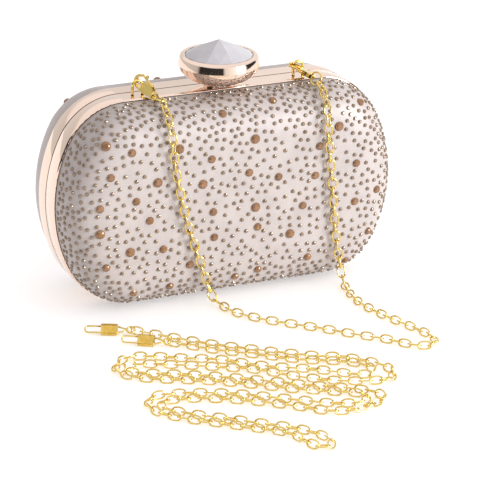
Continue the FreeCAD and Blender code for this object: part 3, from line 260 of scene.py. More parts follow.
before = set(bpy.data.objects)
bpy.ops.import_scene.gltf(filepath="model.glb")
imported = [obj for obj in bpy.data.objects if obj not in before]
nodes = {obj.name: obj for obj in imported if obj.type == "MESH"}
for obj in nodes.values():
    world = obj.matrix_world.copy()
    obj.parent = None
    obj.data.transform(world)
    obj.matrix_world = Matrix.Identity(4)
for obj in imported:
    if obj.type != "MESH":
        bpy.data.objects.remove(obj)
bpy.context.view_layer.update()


# Camera, floor, light
def make_camera():
    right = Vector(CAMERA_RIGHT).normalized()
    back = Vector(CAMERA_BACK).normalized()
    up = back.cross(right).normalized()
    right = up.cross(back)
    data = bpy.data.cameras.new("camera")
    data.lens = CAMERA_LENS
    data.sensor_width = 36
    data.clip_start = 0.05
    data.clip_end = 20
    camera = bpy.data.objects.new("camera", data)
    bpy.context.scene.collection.objects.link(camera)
    turn = Matrix((right, up, back)).transposed().to_4x4()
    camera.matrix_world = Matrix.Translation(CAMERA_PLACE) @ turn
    bpy.context.scene.camera = camera


def link_nodes(tree, source, target):
    tree.links.new(source, target)


def mix_colours(tree, factor, first, second):
    """Mixes two colours, each a socket or three numbers."""
    node = tree.nodes.new("ShaderNodeMix")
    node.data_type = "RGBA"
    link_nodes(tree, factor, node.inputs["Factor"])
    for name, colour in (("A", first), ("B", second)):
        if isinstance(colour, tuple):
            node.inputs[name].default_value = (*colour, 1)
        else:
            link_nodes(tree, colour, node.inputs[name])
    return node.outputs["Result"]


def make_world():
    """A studio. Mirrors see white above, bright walls behind and at the left, dark towards the camera and
    at the right, and a bright window between those two."""
    world = bpy.data.worlds.new("studio")
    bpy.context.scene.world = world
    world.use_nodes = True
    tree = world.node_tree
    tree.nodes.clear()
    out = tree.nodes.new("ShaderNodeOutputWorld")
    coords = tree.nodes.new("ShaderNodeTexCoord")
    apart = tree.nodes.new("ShaderNodeSeparateXYZ")
    link_nodes(tree, coords.outputs["Generated"], apart.inputs[0])

    def dot(vector):
        node = tree.nodes.new("ShaderNodeVectorMath")
        node.operation = "DOT_PRODUCT"
        link_nodes(tree, coords.outputs["Generated"], node.inputs[0])
        node.inputs[1].default_value = vector
        return node.outputs["Value"]

    toward = Vector((CAMERA_BACK[0], CAMERA_BACK[1], 0)).normalized()
    aside = Vector((CAMERA_RIGHT[0], CAMERA_RIGHT[1], 0)).normalized()
    angle = tree.nodes.new("ShaderNodeMath")
    angle.operation = "ARCTAN2"
    link_nodes(tree, dot(aside), angle.inputs[0])
    link_nodes(tree, dot(toward), angle.inputs[1])
    spread = tree.nodes.new("ShaderNodeMapRange")
    spread.inputs["From Min"].default_value = -math.pi
    spread.inputs["From Max"].default_value = math.pi
    link_nodes(tree, angle.outputs[0], spread.inputs["Value"])
    round_ramp = tree.nodes.new("ShaderNodeValToRGB")
    link_nodes(tree, spread.outputs[0], round_ramp.inputs[0])
    stops = round_ramp.color_ramp.elements

    def place(degrees):
        return (degrees + 180) / 360

    marks = (
        (-180, 0.85), (-62, 0.62), (-52, 0.03), (12, 0.04), (18, 0.9), (60, 1.5),
        (80, 1.3), (86, 0.03), (126, 0.04), (134, 1.0), (180, 1.0),
    )
    stops[0].position = place(marks[0][0])
    stops[1].position = place(marks[-1][0])
    for degrees, level in marks[1:-1]:
        stops.new(place(degrees))
    for stop, (degrees, level) in zip(stops, marks):
        stop.color = (level, level, level, 1)
    rise = tree.nodes.new("ShaderNodeValToRGB")
    link_nodes(tree, apart.outputs["Z"], rise.inputs[0])
    rise.color_ramp.elements[0].position = 0.36
    rise.color_ramp.elements[0].color = (0, 0, 0, 1)
    rise.color_ramp.elements[1].position = 0.46
    rise.color_ramp.elements[1].color = (1, 1, 1, 1)
    mirrored = mix_colours(tree, rise.outputs["Color"], round_ramp.outputs["Color"], (1.05, 1.03, 1.04))

    # What lights the matt surfaces: strongest from the front right, with a glow from behind
    even = tree.nodes.new("ShaderNodeMapRange")
    even.inputs["From Min"].default_value = -0.6
    link_nodes(tree, dot(Vector(SKY_WAY).normalized()), even.inputs["Value"])
    glow = tree.nodes.new("ShaderNodeValToRGB")
    glow.color_ramp.elements[1].color = (0.91, 0.91, 0.92, 1)
    glow.color_ramp.elements.new(0.4).color = (0.31, 0.26, 0.24, 1)
    link_nodes(tree, even.outputs[0], glow.inputs[0])
    stronger = tree.nodes.new("ShaderNodeVectorMath")
    stronger.operation = "SCALE"
    stronger.inputs["Scale"].default_value = SKY_BRIGHT
    link_nodes(tree, glow.outputs["Color"], stronger.inputs[0])
    behind = tree.nodes.new("ShaderNodeMapRange")
    behind.inputs["From Min"].default_value = 0.1
    behind.inputs["To Max"].default_value = BACK_BRIGHT
    link_nodes(tree, dot(Vector(BACK_WAY).normalized()), behind.inputs["Value"])
    total = tree.nodes.new("ShaderNodeVectorMath")
    link_nodes(tree, stronger.outputs[0], total.inputs[0])
    link_nodes(tree, behind.outputs[0], total.inputs[1])
    paths = tree.nodes.new("ShaderNodeLightPath")
    matt = mix_colours(tree, paths.outputs["Is Diffuse Ray"], mirrored, total.outputs[0])
    seen = mix_colours(tree, paths.outputs["Is Camera Ray"], matt, (1, 1, 1))
    shade = tree.nodes.new("ShaderNodeBackground")
    link_nodes(tree, seen, shade.inputs["Color"])
    link_nodes(tree, shade.outputs[0], out.inputs["Surface"])


def make_stage():
    scene = bpy.context.scene
    scene.view_settings.view_transform = "Standard"
    scene.view_settings.look = "None"
    scene.view_settings.exposure = 0.0
    corners = [(x * FLOOR_REACH, y * FLOOR_REACH, 0) for x, y in ((-1, -1), (1, -1), (1, 1), (-1, 1))]
    floor = make_mesh("floor", corners, [(0, 1, 2, 3)])
    give(floor, FLOOR)
    return floor


def key_light():
    data = bpy.data.lights.new("key", "AREA")
    data.shape = "SQUARE"
    data.size = KEY_SIZE
    data.energy = KEY_POWER
    light = bpy.data.objects.new("key", data)
    bpy.context.scene.collection.objects.link(light)
    way = Vector(KEY_TARGET) - Vector(KEY_PLACE)
    light.location = KEY_PLACE
    light.rotation_mode = "QUATERNION"
    light.rotation_quaternion = way.to_track_quat("-Z", "Y")
    return light


def spare(light, thing):
    """Keeps a light off one object, which then takes no hard shadow from it."""
    group = bpy.data.collections.new(light.name + "_spares")
    group.objects.link(thing)
    group.collection_objects[0].light_linking.link_state = "EXCLUDE"
    light.light_linking.receiver_collection = group


def floor_light(floor):
    """An even light for the paper alone, so that the shadows on it stay light."""
    data = bpy.data.lights.new("paper_light", "SUN")
    data.energy = FLOOR_POWER
    data.use_shadow = False
    light = bpy.data.objects.new("paper_light", data)
    bpy.context.scene.collection.objects.link(light)
    group = bpy.data.collections.new("paper_only")
    group.objects.link(floor)
    light.light_linking.receiver_collection = group


# Meshes
def make_mesh(name, points, faces, smooth=False, slots=None):
    mesh = bpy.data.meshes.new(name)
    mesh.from_pydata([Vector(p) * MM for p in points], [], faces)
    mesh.update()
    if smooth:
        mesh.shade_smooth()
    if slots:
        mesh.polygons.foreach_set("material_index", slots)
    thing = bpy.data.objects.new(name, mesh)
    bpy.context.scene.collection.objects.link(thing)
    return thing


def give(thing, *materials):
    thing.data.materials.clear()
    for material in materials:
        thing.data.materials.append(material)


def circle(radius, steps, height=0.0, start=0.0):
    """Points round the Z axis."""
    angles = [start + 2 * math.pi * step / steps for step in range(steps)]
    return [Vector((radius * math.cos(angle), radius * math.sin(angle), height)) for angle in angles]


def oblong(angle, power):
    """A point of a rounded oblong of half width and half height 1."""
    c = math.cos(angle)
    s = math.sin(angle)
    return math.copysign(abs(c) ** power, c), math.copysign(abs(s) ** power, s)


def join_rings(rings, closed_along=False, offset=0):
    """Quads between rings of equal counts."""
    faces = []
    count = len(rings[0])
    spans = len(rings) if closed_along else len(rings) - 1
    for level in range(spans):
        low = offset + level * count
        high = offset + ((level + 1) % len(rings)) * count
        for number in range(count):
            other = (number + 1) % count
            faces.append((low + number, low + other, high + other, high + number))
    return faces


def outline_spot(share):
    """A place on the case's outline, from 0 to 1 round it, with the way out and the bend's radius."""
    corner = math.pi / 2 - TURN
    pieces = [
        (END_RADIUS * 2 * TURN, (END_CENTRE, 0), END_RADIUS, -TURN, TURN),
        (CORNER_RADIUS * corner, (CORNER_X, CORNER_Z), CORNER_RADIUS, TURN, math.pi / 2),
        (CORNER_X * 2, None, 1, 0, 0),
        (CORNER_RADIUS * corner, (-CORNER_X, CORNER_Z), CORNER_RADIUS, math.pi / 2, math.pi - TURN),
        (END_RADIUS * 2 * TURN, (-END_CENTRE, 0), END_RADIUS, math.pi - TURN, math.pi + TURN),
        (CORNER_RADIUS * corner, (-CORNER_X, -CORNER_Z), CORNER_RADIUS, math.pi + TURN, math.pi * 1.5),
        (CORNER_X * 2, None, -1, 0, 0),
        (CORNER_RADIUS * corner, (CORNER_X, -CORNER_Z), CORNER_RADIUS, math.pi * 1.5, math.pi * 2 - TURN),
    ]
    total = sum(piece[0] for piece in pieces)
    left = (share % 1.0) * total
    for length, centre, radius, start, end in pieces:
        if left <= length:
            break
        left -= length
    part = left / length
    if centre is None:
        x = (CORNER_X - 2 * CORNER_X * part) * radius
        return Vector((x, 0, HALF_HEIGHT * radius)), Vector((0, 0, radius)), math.inf
    angle = start + (end - start) * part
    out = Vector((math.cos(angle), 0, math.sin(angle)))
    return Vector((centre[0], 0, centre[1])) + out * radius, out, radius


OUTLINE = [outline_spot(number / OUTLINE_STEPS) for number in range(OUTLINE_STEPS)]


def outline_ring(inset, depth, rear=False):
    """One ring round the case at an inset and a depth in front of the seam; rear ones are turned."""
    points = []
    for spot, out, _ in OUTLINE:
        place = spot - out * inset
        points.append(turned(Vector((place.x, -depth, place.z + HALF_HEIGHT)), rear))
    return points


def turned(point, rear):
    if rear:
        return Vector((-point.x, -point.y, point.z))
    return point


def outline_inset(x, z):
    x = abs(x)
    z = abs(z)
    distances = []
    if x <= CORNER_X:
        distances.append(HALF_HEIGHT - z)
    elif math.atan2(z - CORNER_Z, x - CORNER_X) >= TURN:
        distances.append(CORNER_RADIUS - math.hypot(x - CORNER_X, z - CORNER_Z))
    if x > END_CENTRE and math.atan2(z, x - END_CENTRE) <= TURN:
        distances.append(END_RADIUS - math.hypot(x - END_CENTRE, z))
    return min(distances) if distances else HALF_HEIGHT - z


def profile(shrink=0.0):
    """The dome's section as (inset, depth), from its rim to its flat top."""
    points = []
    for step in range(DOME_STEPS + 1):
        angle = math.pi / 2 * step / DOME_STEPS
        reach = max(math.cos(angle), 0.0) ** (2 / DOME_POWER)
        rise = math.sin(angle) ** (2 / DOME_POWER)
        inset = SHELL_RIM + shrink + (DOME_WIDTH - shrink) * (1 - reach)
        points.append((inset, BAND_FRONT + (DOME_DEPTH - shrink) * rise))
    return points


def profile_spot(inset):
    """Depth of the dome at an inset, and its normal as (out, front)."""
    reach = min(max(1 - (inset - SHELL_RIM) / DOME_WIDTH, 0.0), 1.0)
    rise = (1 - reach ** DOME_POWER) ** (1 / DOME_POWER)
    out = reach ** (DOME_POWER - 1) / DOME_WIDTH
    front = max(rise, 0.001) ** (DOME_POWER - 1) / DOME_DEPTH
    size = math.hypot(out, front)
    return BAND_FRONT + DOME_DEPTH * rise, out / size, front / size


def shell_piece(name, outer, inner, start, rear):
    """A closed domed skin between two sections, open towards the seam."""

    def skin(section):
        return [outline_ring(inset, depth, rear) for inset, depth in [(section[0][0], start)] + section]

    rings = skin(outer)
    faces = join_rings(rings)
    count = OUTLINE_STEPS
    top = (len(rings) - 1) * count
    faces.append(tuple(range(top, top + count)))
    inside = skin(inner)
    base = len(rings) * count
    faces += [face[::-1] for face in join_rings(inside, offset=base)]
    top = base + (len(inside) - 1) * count
    faces.append(tuple(reversed(range(top, top + count))))
    for number in range(count):
        other = (number + 1) % count
        faces.append((other, number, base + number, base + other))
    points = [point for ring in rings + inside for point in ring]
    faces = [face[::-1] for face in faces]
    # The first rows at the rim take slot 1, the painted shadow where the satin meets the frame
    slots = [1 if number < SHADOWED_RIM_ROWS * count else 0 for number in range(len(faces))]
    return make_mesh(name, points, faces, smooth=True, slots=slots)


# Stones
def stone_mesh(name, spots, radius, sides, rise, tiers, rear):
    """Flat-backed cut stones at spots of (place, normal, turn)."""
    points = []
    faces = []
    slots = []
    for place, normal, turn in spots:
        axes = normal.to_track_quat("Z", "Y").to_matrix()
        base = len(points)
        rings = []
        for share, height, offset in tiers:
            ring = circle(share * radius, sides, height * rise, turn + 2 * math.pi * offset / sides)
            rings.append([turned(place + axes @ point, rear) for point in ring])
        points += [point for ring in rings for point in ring]
        faces += join_rings(rings, offset=base)
        # Slot 0, on the side wall, the lower sloped ring and the back, is painted shade and dark reflection;
        # slot 1 is the stone's face
        slots += [0] * (2 * sides) + [1] * ((len(tiers) - 3) * sides)
        top = base + (len(tiers) - 1) * sides
        faces.append(tuple(range(top, top + sides)))
        faces.append(tuple(reversed(range(base, base + sides))))
        slots += [1, 0]
    return make_mesh(name, points, faces, slots=slots)


def big_spots(shares):
    spots = []
    for number, (x_share, z_share) in enumerate(shares):
        x = HALF_LENGTH * x_share
        z = HALF_HEIGHT * z_share
        inset = outline_inset(x, z)
        step = 0.01
        out = Vector((inset - outline_inset(x + step, z), 0, inset - outline_inset(x, z + step)))
        out = out.normalized() if out.length > 0 else Vector((0, 0, 1))
        depth, side, front = profile_spot(inset)
        normal = out * side + Vector((0, -front, 0))
        spots.append((Vector((x, -depth, z + HALF_HEIGHT)), normal, number * BIG_STONE_TURN))
    return spots


def small_spots(seed, taken, bare):
    """Small stones strewn over a dome, closer together towards its rim."""
    draw = random.Random(seed)
    section = profile()
    arcs = [0.0]
    for (inset, depth), (following, deeper) in zip(section, section[1:]):
        arcs.append(arcs[-1] + math.hypot(following - inset, deeper - depth))
    grid = {}
    found = []

    def near(place, reach):
        low = [int((value - SEARCH_REACH) // CELL) for value in place]
        high = [int((value + SEARCH_REACH) // CELL) for value in place]
        for i in range(low[0], high[0] + 1):
            for j in range(low[1], high[1] + 1):
                for k in range(low[2], high[2] + 1):
                    for other, room in grid.get((i, j, k), ()):
                        if (other - place).length < max(reach, room):
                            return True
        return False

    def keep(place, room):
        key = tuple(int(value // CELL) for value in place)
        grid.setdefault(key, []).append((place, room))

    for spot, radius in taken:
        keep(spot[0], radius + SMALL_RADIUS + BIG_STONE_ROOM)
    for _ in range(TRIES):
        if draw.random() < FLAT_SHARE:
            x = draw.uniform(-HALF_LENGTH, HALF_LENGTH)
            z = draw.uniform(-HALF_HEIGHT, HALF_HEIGHT)
            inset = outline_inset(x, z)
            if inset < SHELL_RIM + DOME_WIDTH:
                continue
            place = Vector((x, -BAND_FRONT - DOME_DEPTH, z + HALF_HEIGHT))
            normal = Vector((0, -1, 0))
        else:
            spot, out, bend = outline_spot(draw.random())
            along = draw.uniform(RIM_CLEAR, arcs[-1])
            for number in range(len(arcs) - 1):
                if arcs[number + 1] >= along:
                    break
            part = (along - arcs[number]) / (arcs[number + 1] - arcs[number])
            inset = section[number][0] * (1 - part) + section[number + 1][0] * part
            if inset < bare or draw.random() > 1 - inset / bend:
                continue
            depth, side, front = profile_spot(inset)
            flat = spot - out * inset
            place = Vector((flat.x, -depth, flat.z + HALF_HEIGHT))
            normal = (out * side + Vector((0, -front, 0))).normalized()
        inward = min(max((inset - ROOM_START) / ROOM_GROWTH, 0.0), 1.0)
        room = ROOM + MORE_ROOM * inward
        if not near(place, room):
            keep(place, room)
            found.append((place, normal, draw.uniform(0, math.pi)))
    return found


# Wires
def sweep(points, radius, sides, closed):
    """Rings of a round wire along points, turned as little as possible."""
    count = len(points)
    rings = []
    side = None
    for number in range(count):
        before = points[number - 1] if number or closed else points[number]
        after = points[(number + 1) % count] if number < count - 1 or closed else points[number]
        along = (after - before).normalized()
        if side is None:
            side = along.cross(Vector((0, 0, 1)))
            if side.length < 0.01:
                side = along.cross(Vector((1, 0, 0)))
        side = (side - along * side.dot(along)).normalized()
        other = along.cross(side)
        ring = []
        for step in range(sides):
            angle = 2 * math.pi * step / sides
            offset = side * (radius * math.cos(angle)) + other * (radius * math.sin(angle))
            ring.append(points[number] + offset)
        rings.append(ring)
    return rings


def wire(name, paths, radius, sides, closed, smooth=True):
    """One mesh of several round wires."""
    points = []
    faces = []
    for path in paths:
        rings = sweep(path, radius, sides, closed)
        base = len(points)
        faces += join_rings(rings, closed_along=closed, offset=base)
        if not closed:
            faces.append(tuple(reversed(range(base, base + sides))))
            last = base + (len(rings) - 1) * sides
            faces.append(tuple(range(last, last + sides)))
        points += [point for ring in rings for point in ring]
    return make_mesh(name, points, faces, smooth=smooth)


def oval(steps):
    """The middle of one link's wire, its length along X."""
    reach = LINK_LENGTH / 2 - LINK_WIRE / 2
    wide = LINK_WIDTH / 2 - LINK_WIRE / 2
    points = []
    for step in range(steps):
        x, y = oblong(2 * math.pi * (step + 0.5) / steps, 2 / LINK_POWER)
        points.append(Vector((reach * x, wide * y, 0)))
    return points


def route_points(shares):
    """A route's points in metres; two numbers where the chain lies on the floor."""
    points = []
    for place in shares:
        height = place[2] * CASE_LENGTH if len(place) == 3 else FLOOR_LIFT
        points.append(Vector((place[0] * CASE_LENGTH, place[1] * CASE_LENGTH, height)) * MM)
    return points


def route_line(points):
    """The chain's middle: points read from the NURBS spline of its route."""
    curve = bpy.data.curves.new("route", "CURVE")
    curve.dimensions = "3D"
    curve.resolution_u = 12
    spline = curve.splines.new("NURBS")
    spline.points.add(len(points) - 1)
    for point, place in zip(spline.points, points):
        point.co = (*place, 1)
    spline.order_u = 3
    spline.use_endpoint_u = True
    thing = bpy.data.objects.new("route", curve)
    mesh = bpy.data.meshes.new_from_object(thing)
    line = [vertex.co.copy() for vertex in mesh.vertices]
    bpy.data.objects.remove(thing)
    bpy.data.meshes.remove(mesh)
    bpy.data.curves.remove(curve)
    return line


def spaced(line, count):
    """Places and directions at even steps along a line."""
    lengths = [0.0]
    for start, end in zip(line, line[1:]):
        lengths.append(lengths[-1] + (end - start).length)
    found = []
    at = 0
    for number in range(count + 1):
        want = lengths[-1] * number / count
        while at < len(line) - 2 and lengths[at + 1] < want:
            at += 1
        part = (want - lengths[at]) / (lengths[at + 1] - lengths[at])
        place = line[at].lerp(line[at + 1], part)
        low = max(at - 1, 0)
        high = min(at + 2, len(line) - 1)
        found.append((place, (line[high] - line[low]).normalized()))
    return found, lengths[-1]


def half_turns(angle):
    """The same roll of a link, which looks alike after half a turn, brought near to nothing."""
    return angle - math.pi * round(angle / math.pi)


def chain(name, route, steps, sides, facing, lean, ends=None):
    """Real oval links along a route: they lie broad side and edge by turns. ends are the rolls that
    stand the first and the last link across their jump rings; their neighbours follow by degrees."""
    line = route_line(route)
    length = spaced(line, 1)[1]
    count = round(length / (LINK_PITCH * MM))
    rings = sweep(oval(steps), LINK_WIRE / 2, sides, True)
    link_points = [point for ring in rings for point in ring]
    link_faces = join_rings(rings, closed_along=True)
    broad = Vector(CAMERA_BACK)
    stations = []
    for number, (place, along) in enumerate(spaced(line, count)[0]):
        facing = (facing - along * facing.dot(along)).normalized()
        side = broad if number % 2 else broad.cross(along)
        side = (side - along * side.dot(along)).normalized()
        roll = math.atan2(along.dot(facing.cross(side)), facing.dot(side))
        stations.append((place, along, facing, roll))
    first = half_turns(ends[0] - stations[0][3]) if ends else 0
    last = half_turns(ends[1] - stations[-1][3]) if ends else 0
    points = []
    faces = []
    draw = random.Random(LEAN_SEED)
    for number, (place, along, facing, roll) in enumerate(stations):
        roll += first * max(0, 1 - number / TWIST_LINKS)
        roll += last * max(0, 1 - (count - number) / TWIST_LINKS)
        if 0 < number < count:
            roll += draw.uniform(-lean, lean)
        side = Matrix.Rotation(roll, 3, along) @ facing
        turn = Matrix((along, side, along.cross(side))).transposed()
        base = len(points)
        points += [turn @ point + place / MM for point in link_points]
        faces += [tuple(base + index for index in face) for face in link_faces]
    return make_mesh(name, points, faces, smooth=True), line, length


# Turned and bent pieces
def bowl_section():
    """The bowl's section; each step of its rim leans further inward."""
    section = list(BOWL_SIDE)
    for tilt, length in RIM_STEPS:
        radius, height = section[-1]
        angle = math.radians(tilt)
        section.append((radius - length * math.sin(angle), height + length * math.cos(angle)))
    return section + list(BOWL_HOLLOW)


def lathe(name, section, sides, centre, widest):
    """A closed turned piece; its section runs from the middle of its foot to the middle of its hollow."""
    rings = [[point + centre for point in circle(radius, sides, height)] for radius, height in section]
    faces = join_rings(rings)
    last = (len(rings) - 1) * sides
    faces.append(tuple(reversed(range(sides))))
    faces.append(tuple(range(last, last + sides)))
    # Faces below the widest ring take slot 1, a darker, warmer copy of the rose gold: painted shade and warm
    # reflection on the underside
    slots = [1 if number < widest * sides else 0 for number in range(len(faces))]
    thing = make_mesh(name, [point for ring in rings for point in ring], faces, smooth=True, slots=slots)
    thing.data.set_sharp_from_angle(angle=math.radians(BOWL_SHARP))
    return thing


def crystal(name, centre):
    """The cut crystal: eight kites meet in its point, with sixteen small facets round them."""
    half = math.pi / KITE_COUNT
    count = KITE_COUNT * 2
    top = centre + Vector((0, 0, CRYSTAL_GIRDLE + CRYSTAL_CROWN))
    middle_height = CRYSTAL_GIRDLE + CRYSTAL_CROWN * (1 - KITE_SHARE * math.cos(half))
    rings = circle(CRYSTAL_RADIUS * KITE_SHARE, KITE_COUNT, middle_height)
    rings += circle(CRYSTAL_RADIUS, count, CRYSTAL_GIRDLE) + circle(CRYSTAL_RADIUS, count)
    points = [top] + [point + centre for point in rings]
    points.append(centre - Vector((0, 0, CRYSTAL_PAVILION)))
    upper = 1 + KITE_COUNT
    lower = upper + count
    faces = []
    slots = []
    # Each facet takes a painted shade: its brightness stands in for the light and dark it reflects
    for number in range(KITE_COUNT):
        following = (number + 1) % KITE_COUNT
        at = number * 2
        tip = upper + at + 1
        faces.append((0, 1 + number, tip, 1 + following))
        faces.append((1 + number, upper + at, tip))
        faces.append((1 + following, tip, upper + (at + 2) % count))
        slots += [KITE_PAINTED_SHADES[number], SMALL_FACET_PAINTED_SHADES[at], SMALL_FACET_PAINTED_SHADES[at + 1]]
    # The girdle takes the lightest painted shade, the pavilion the grey one
    for number in range(count):
        following = (number + 1) % count
        faces.append((upper + number, lower + number, lower + following, upper + following))
        faces.append((lower + count, lower + following, lower + number))
        slots += [0, 2]
    return make_mesh(name, points, faces, slots=slots)


def bail_paths():
    """The two wire loops in the band's top, legs and arch in one line each."""
    paths = []
    for side in (-1, 1):
        middle = BAIL_X * side
        path = [Vector((middle - BAIL_HALF, PIVOT_Y, BAIL_LOW))]
        for step in range(BAIL_STEPS + 1):
            angle = math.pi * (1 - step / BAIL_STEPS)
            height = BAIL_TOP - BAIL_HALF + BAIL_HALF * math.sin(angle)
            path.append(Vector((middle + BAIL_HALF * math.cos(angle), PIVOT_Y, height)))
        path.append(Vector((middle + BAIL_HALF, PIVOT_Y, BAIL_LOW)))
        paths.append(path)
    return paths


def ring_path(centre, way, side):
    way = Vector(way).normalized()
    side = Vector(side)
    side = (side - way * side.dot(way)).normalized()
    path = []
    for step in range(RING_STEPS):
        angle = 2 * math.pi * step / RING_STEPS
        path.append(Vector(centre) + (way * math.cos(angle) + side * math.sin(angle)) * RING_RADIUS)
    return path


def clip_axes(clip):
    origin, way = clip
    along = Vector(way).normalized()
    side = Vector((-along.y, along.x, 0))
    side = side * math.cos(CLIP_ROLL) + Vector((0, 0, math.sin(CLIP_ROLL)))
    return Vector(origin) + Vector((0, 0, CLIP_LIFT)), along, side


def clip_hook(name, clip):
    """A bent wire hook, its two legs drawn together into a swivel with a small eye."""
    origin, along, side = clip_axes(clip)

    def spot(x, y):
        return origin + along * x + side * y

    bend = []
    for step in range(HOOK_BEND_STEPS + 1):
        angle = math.pi / 2 + math.pi * step / HOOK_BEND_STEPS
        bend.append(spot(HOOK_BEND + HOOK_HALF * math.cos(angle), HOOK_HALF * math.sin(angle)))
    long_leg = [spot(HOOK_TIP, HOOK_HALF)] + bend + [spot(x, -HOOK_HALF) for x in LONG_LEG]
    long_leg += [spot(x, -y) for x, y in HOOK_NECK]
    short_leg = [spot(x, HOOK_HALF) for x in SHORT_LEG] + [spot(x, y) for x, y in HOOK_NECK]
    hook = wire(name, [long_leg, short_leg], HOOK_WIRE, HOOK_SIDES, False)
    eye = [spot(EYE_PLACE + point.x, point.y) for point in circle(EYE_RADIUS, EYE_STEPS)]
    swivel_eye = wire(name + "_eye", [eye], EYE_WIRE, HOOK_SIDES, True)
    middle = [spot(x, 0) for x in BARREL_STOPS]
    barrel = wire(name + "_barrel", [middle], BARREL_RADIUS, BARREL_SIDES, False, False)
    return join(name, [hook, swivel_eye, barrel])


def join(name, things):
    """One mesh of several."""
    points = []
    faces = []
    smooth = []
    for thing in things:
        base = len(points)
        points += [vertex.co / MM for vertex in thing.data.vertices]
        for polygon in thing.data.polygons:
            faces.append(tuple(base + index for index in polygon.vertices))
            smooth.append(polygon.use_smooth)
    for thing in things:
        mesh = thing.data
        bpy.data.objects.remove(thing)
        bpy.data.meshes.remove(mesh)
    joined = make_mesh(name, points, faces)
    joined.data.polygons.foreach_set("use_smooth", smooth)
    return joined


def clip_sleeve(name, clip):
    """The sliding sleeve: a flattened tube with fine ribs across it and a slot for the wires."""
    origin, along, side = clip_axes(clip)

    def ring_at(x, wide, high):
        ring = []
        for step in range(SLEEVE_STEPS):
            y, z = oblong(2 * math.pi * step / SLEEVE_STEPS, SLEEVE_POWER)
            ring.append(origin + along * x + side * (wide * y) + along.cross(side) * (high * z))
        return ring

    rings = [ring_at(SLEEVE_START, *SLEEVE_BORE), ring_at(SLEEVE_START, *SLEEVE_LIP)]
    pitch = RIBS_LENGTH / RIBS
    for rib in range(RIBS):
        low = RIBS_START + pitch * rib
        narrow = 1 - RIB_TAPER * abs(rib - (RIBS - 1) / 2) / RIBS
        for part, grow in RIB_PROFILE:
            rings.append(ring_at(low + pitch * part, (RIB_WIDE + grow) * narrow, (RIB_HIGH + grow) * narrow))
    rings += [ring_at(SLEEVE_END, *SLEEVE_LIP), ring_at(SLEEVE_END, *SLEEVE_BORE)]
    faces = join_rings(rings, closed_along=True)
    thing = make_mesh(name, [point for ring in rings for point in ring], faces, smooth=True)
    thing.data.set_sharp_from_angle(angle=math.radians(SLEEVE_SHARP))
    return thing


# Materials
def new_material(name):
    material = bpy.data.materials.new(name)
    material.use_nodes = True
    tree = material.node_tree
    shader = tree.nodes["Principled BSDF"]
    return material, tree, shader


def noise(tree, scale, detail=3.0):
    coords = tree.nodes.new("ShaderNodeTexCoord")
    texture = tree.nodes.new("ShaderNodeTexNoise")
    texture.inputs["Scale"].default_value = scale
    texture.inputs["Detail"].default_value = detail
    link_nodes(tree, coords.outputs["Object"], texture.inputs["Vector"])
    return texture.outputs[0]


def spread_value(tree, source, low, high):
    node = tree.nodes.new("ShaderNodeMapRange")
    node.inputs["To Min"].default_value = low
    node.inputs["To Max"].default_value = high
    node.inputs["From Min"].default_value = 0.3
    node.inputs["From Max"].default_value = 0.7
    link_nodes(tree, source, node.inputs["Value"])
    return node.outputs[0]


def spread_colour(tree, source, low, high):
    ramp = tree.nodes.new("ShaderNodeValToRGB")
    ramp.color_ramp.elements[0].position = 0.3
    ramp.color_ramp.elements[1].position = 0.7
    ramp.color_ramp.elements[0].color = (*low, 1)
    ramp.color_ramp.elements[1].color = (*high, 1)
    link_nodes(tree, source, ramp.inputs[0])
    return ramp.outputs["Color"]


def bump(tree, shader, source, strength, distance):
    node = tree.nodes.new("ShaderNodeBump")
    node.inputs["Strength"].default_value = strength
    node.inputs["Distance"].default_value = distance
    link_nodes(tree, source, node.inputs["Height"])
    link_nodes(tree, node.outputs[0], shader.inputs["Normal"])


def painted_seam_shadow(tree, colour, seam):
    """The colour, with a painted shadow line darkening it along the seam, the plane y = 0, where the two
    frames meet.
    """
    coords = tree.nodes.new("ShaderNodeTexCoord")
    apart = tree.nodes.new("ShaderNodeSeparateXYZ")
    link_nodes(tree, coords.outputs["Object"], apart.inputs[0])
    away = tree.nodes.new("ShaderNodeMath")
    away.operation = "ABSOLUTE"
    link_nodes(tree, apart.outputs["Y"], away.inputs[0])
    past = tree.nodes.new("ShaderNodeMath")
    past.operation = "GREATER_THAN"
    past.inputs[1].default_value = SEAM_SHADOW_HALF_WIDTH * MM
    link_nodes(tree, away.outputs[0], past.inputs[0])
    return mix_colours(tree, past.outputs[0], seam, colour)


def metal(name, low, high, smooth, rough, scale=60, seam=None):
    """Polished plate with faint wear in its colour and gloss, and with a painted shadow line in the given
    dark colour along the seam if one is given.
    """
    material, tree, shader = new_material(name)
    wear = noise(tree, scale)
    colour = spread_colour(tree, wear, low, high)
    # A painted shadow line along the seam
    if seam:
        colour = painted_seam_shadow(tree, colour, seam)
    link_nodes(tree, colour, shader.inputs["Base Color"])
    link_nodes(tree, spread_value(tree, wear, smooth, rough), shader.inputs["Roughness"])
    shader.inputs["Metallic"].default_value = 1.0
    return material


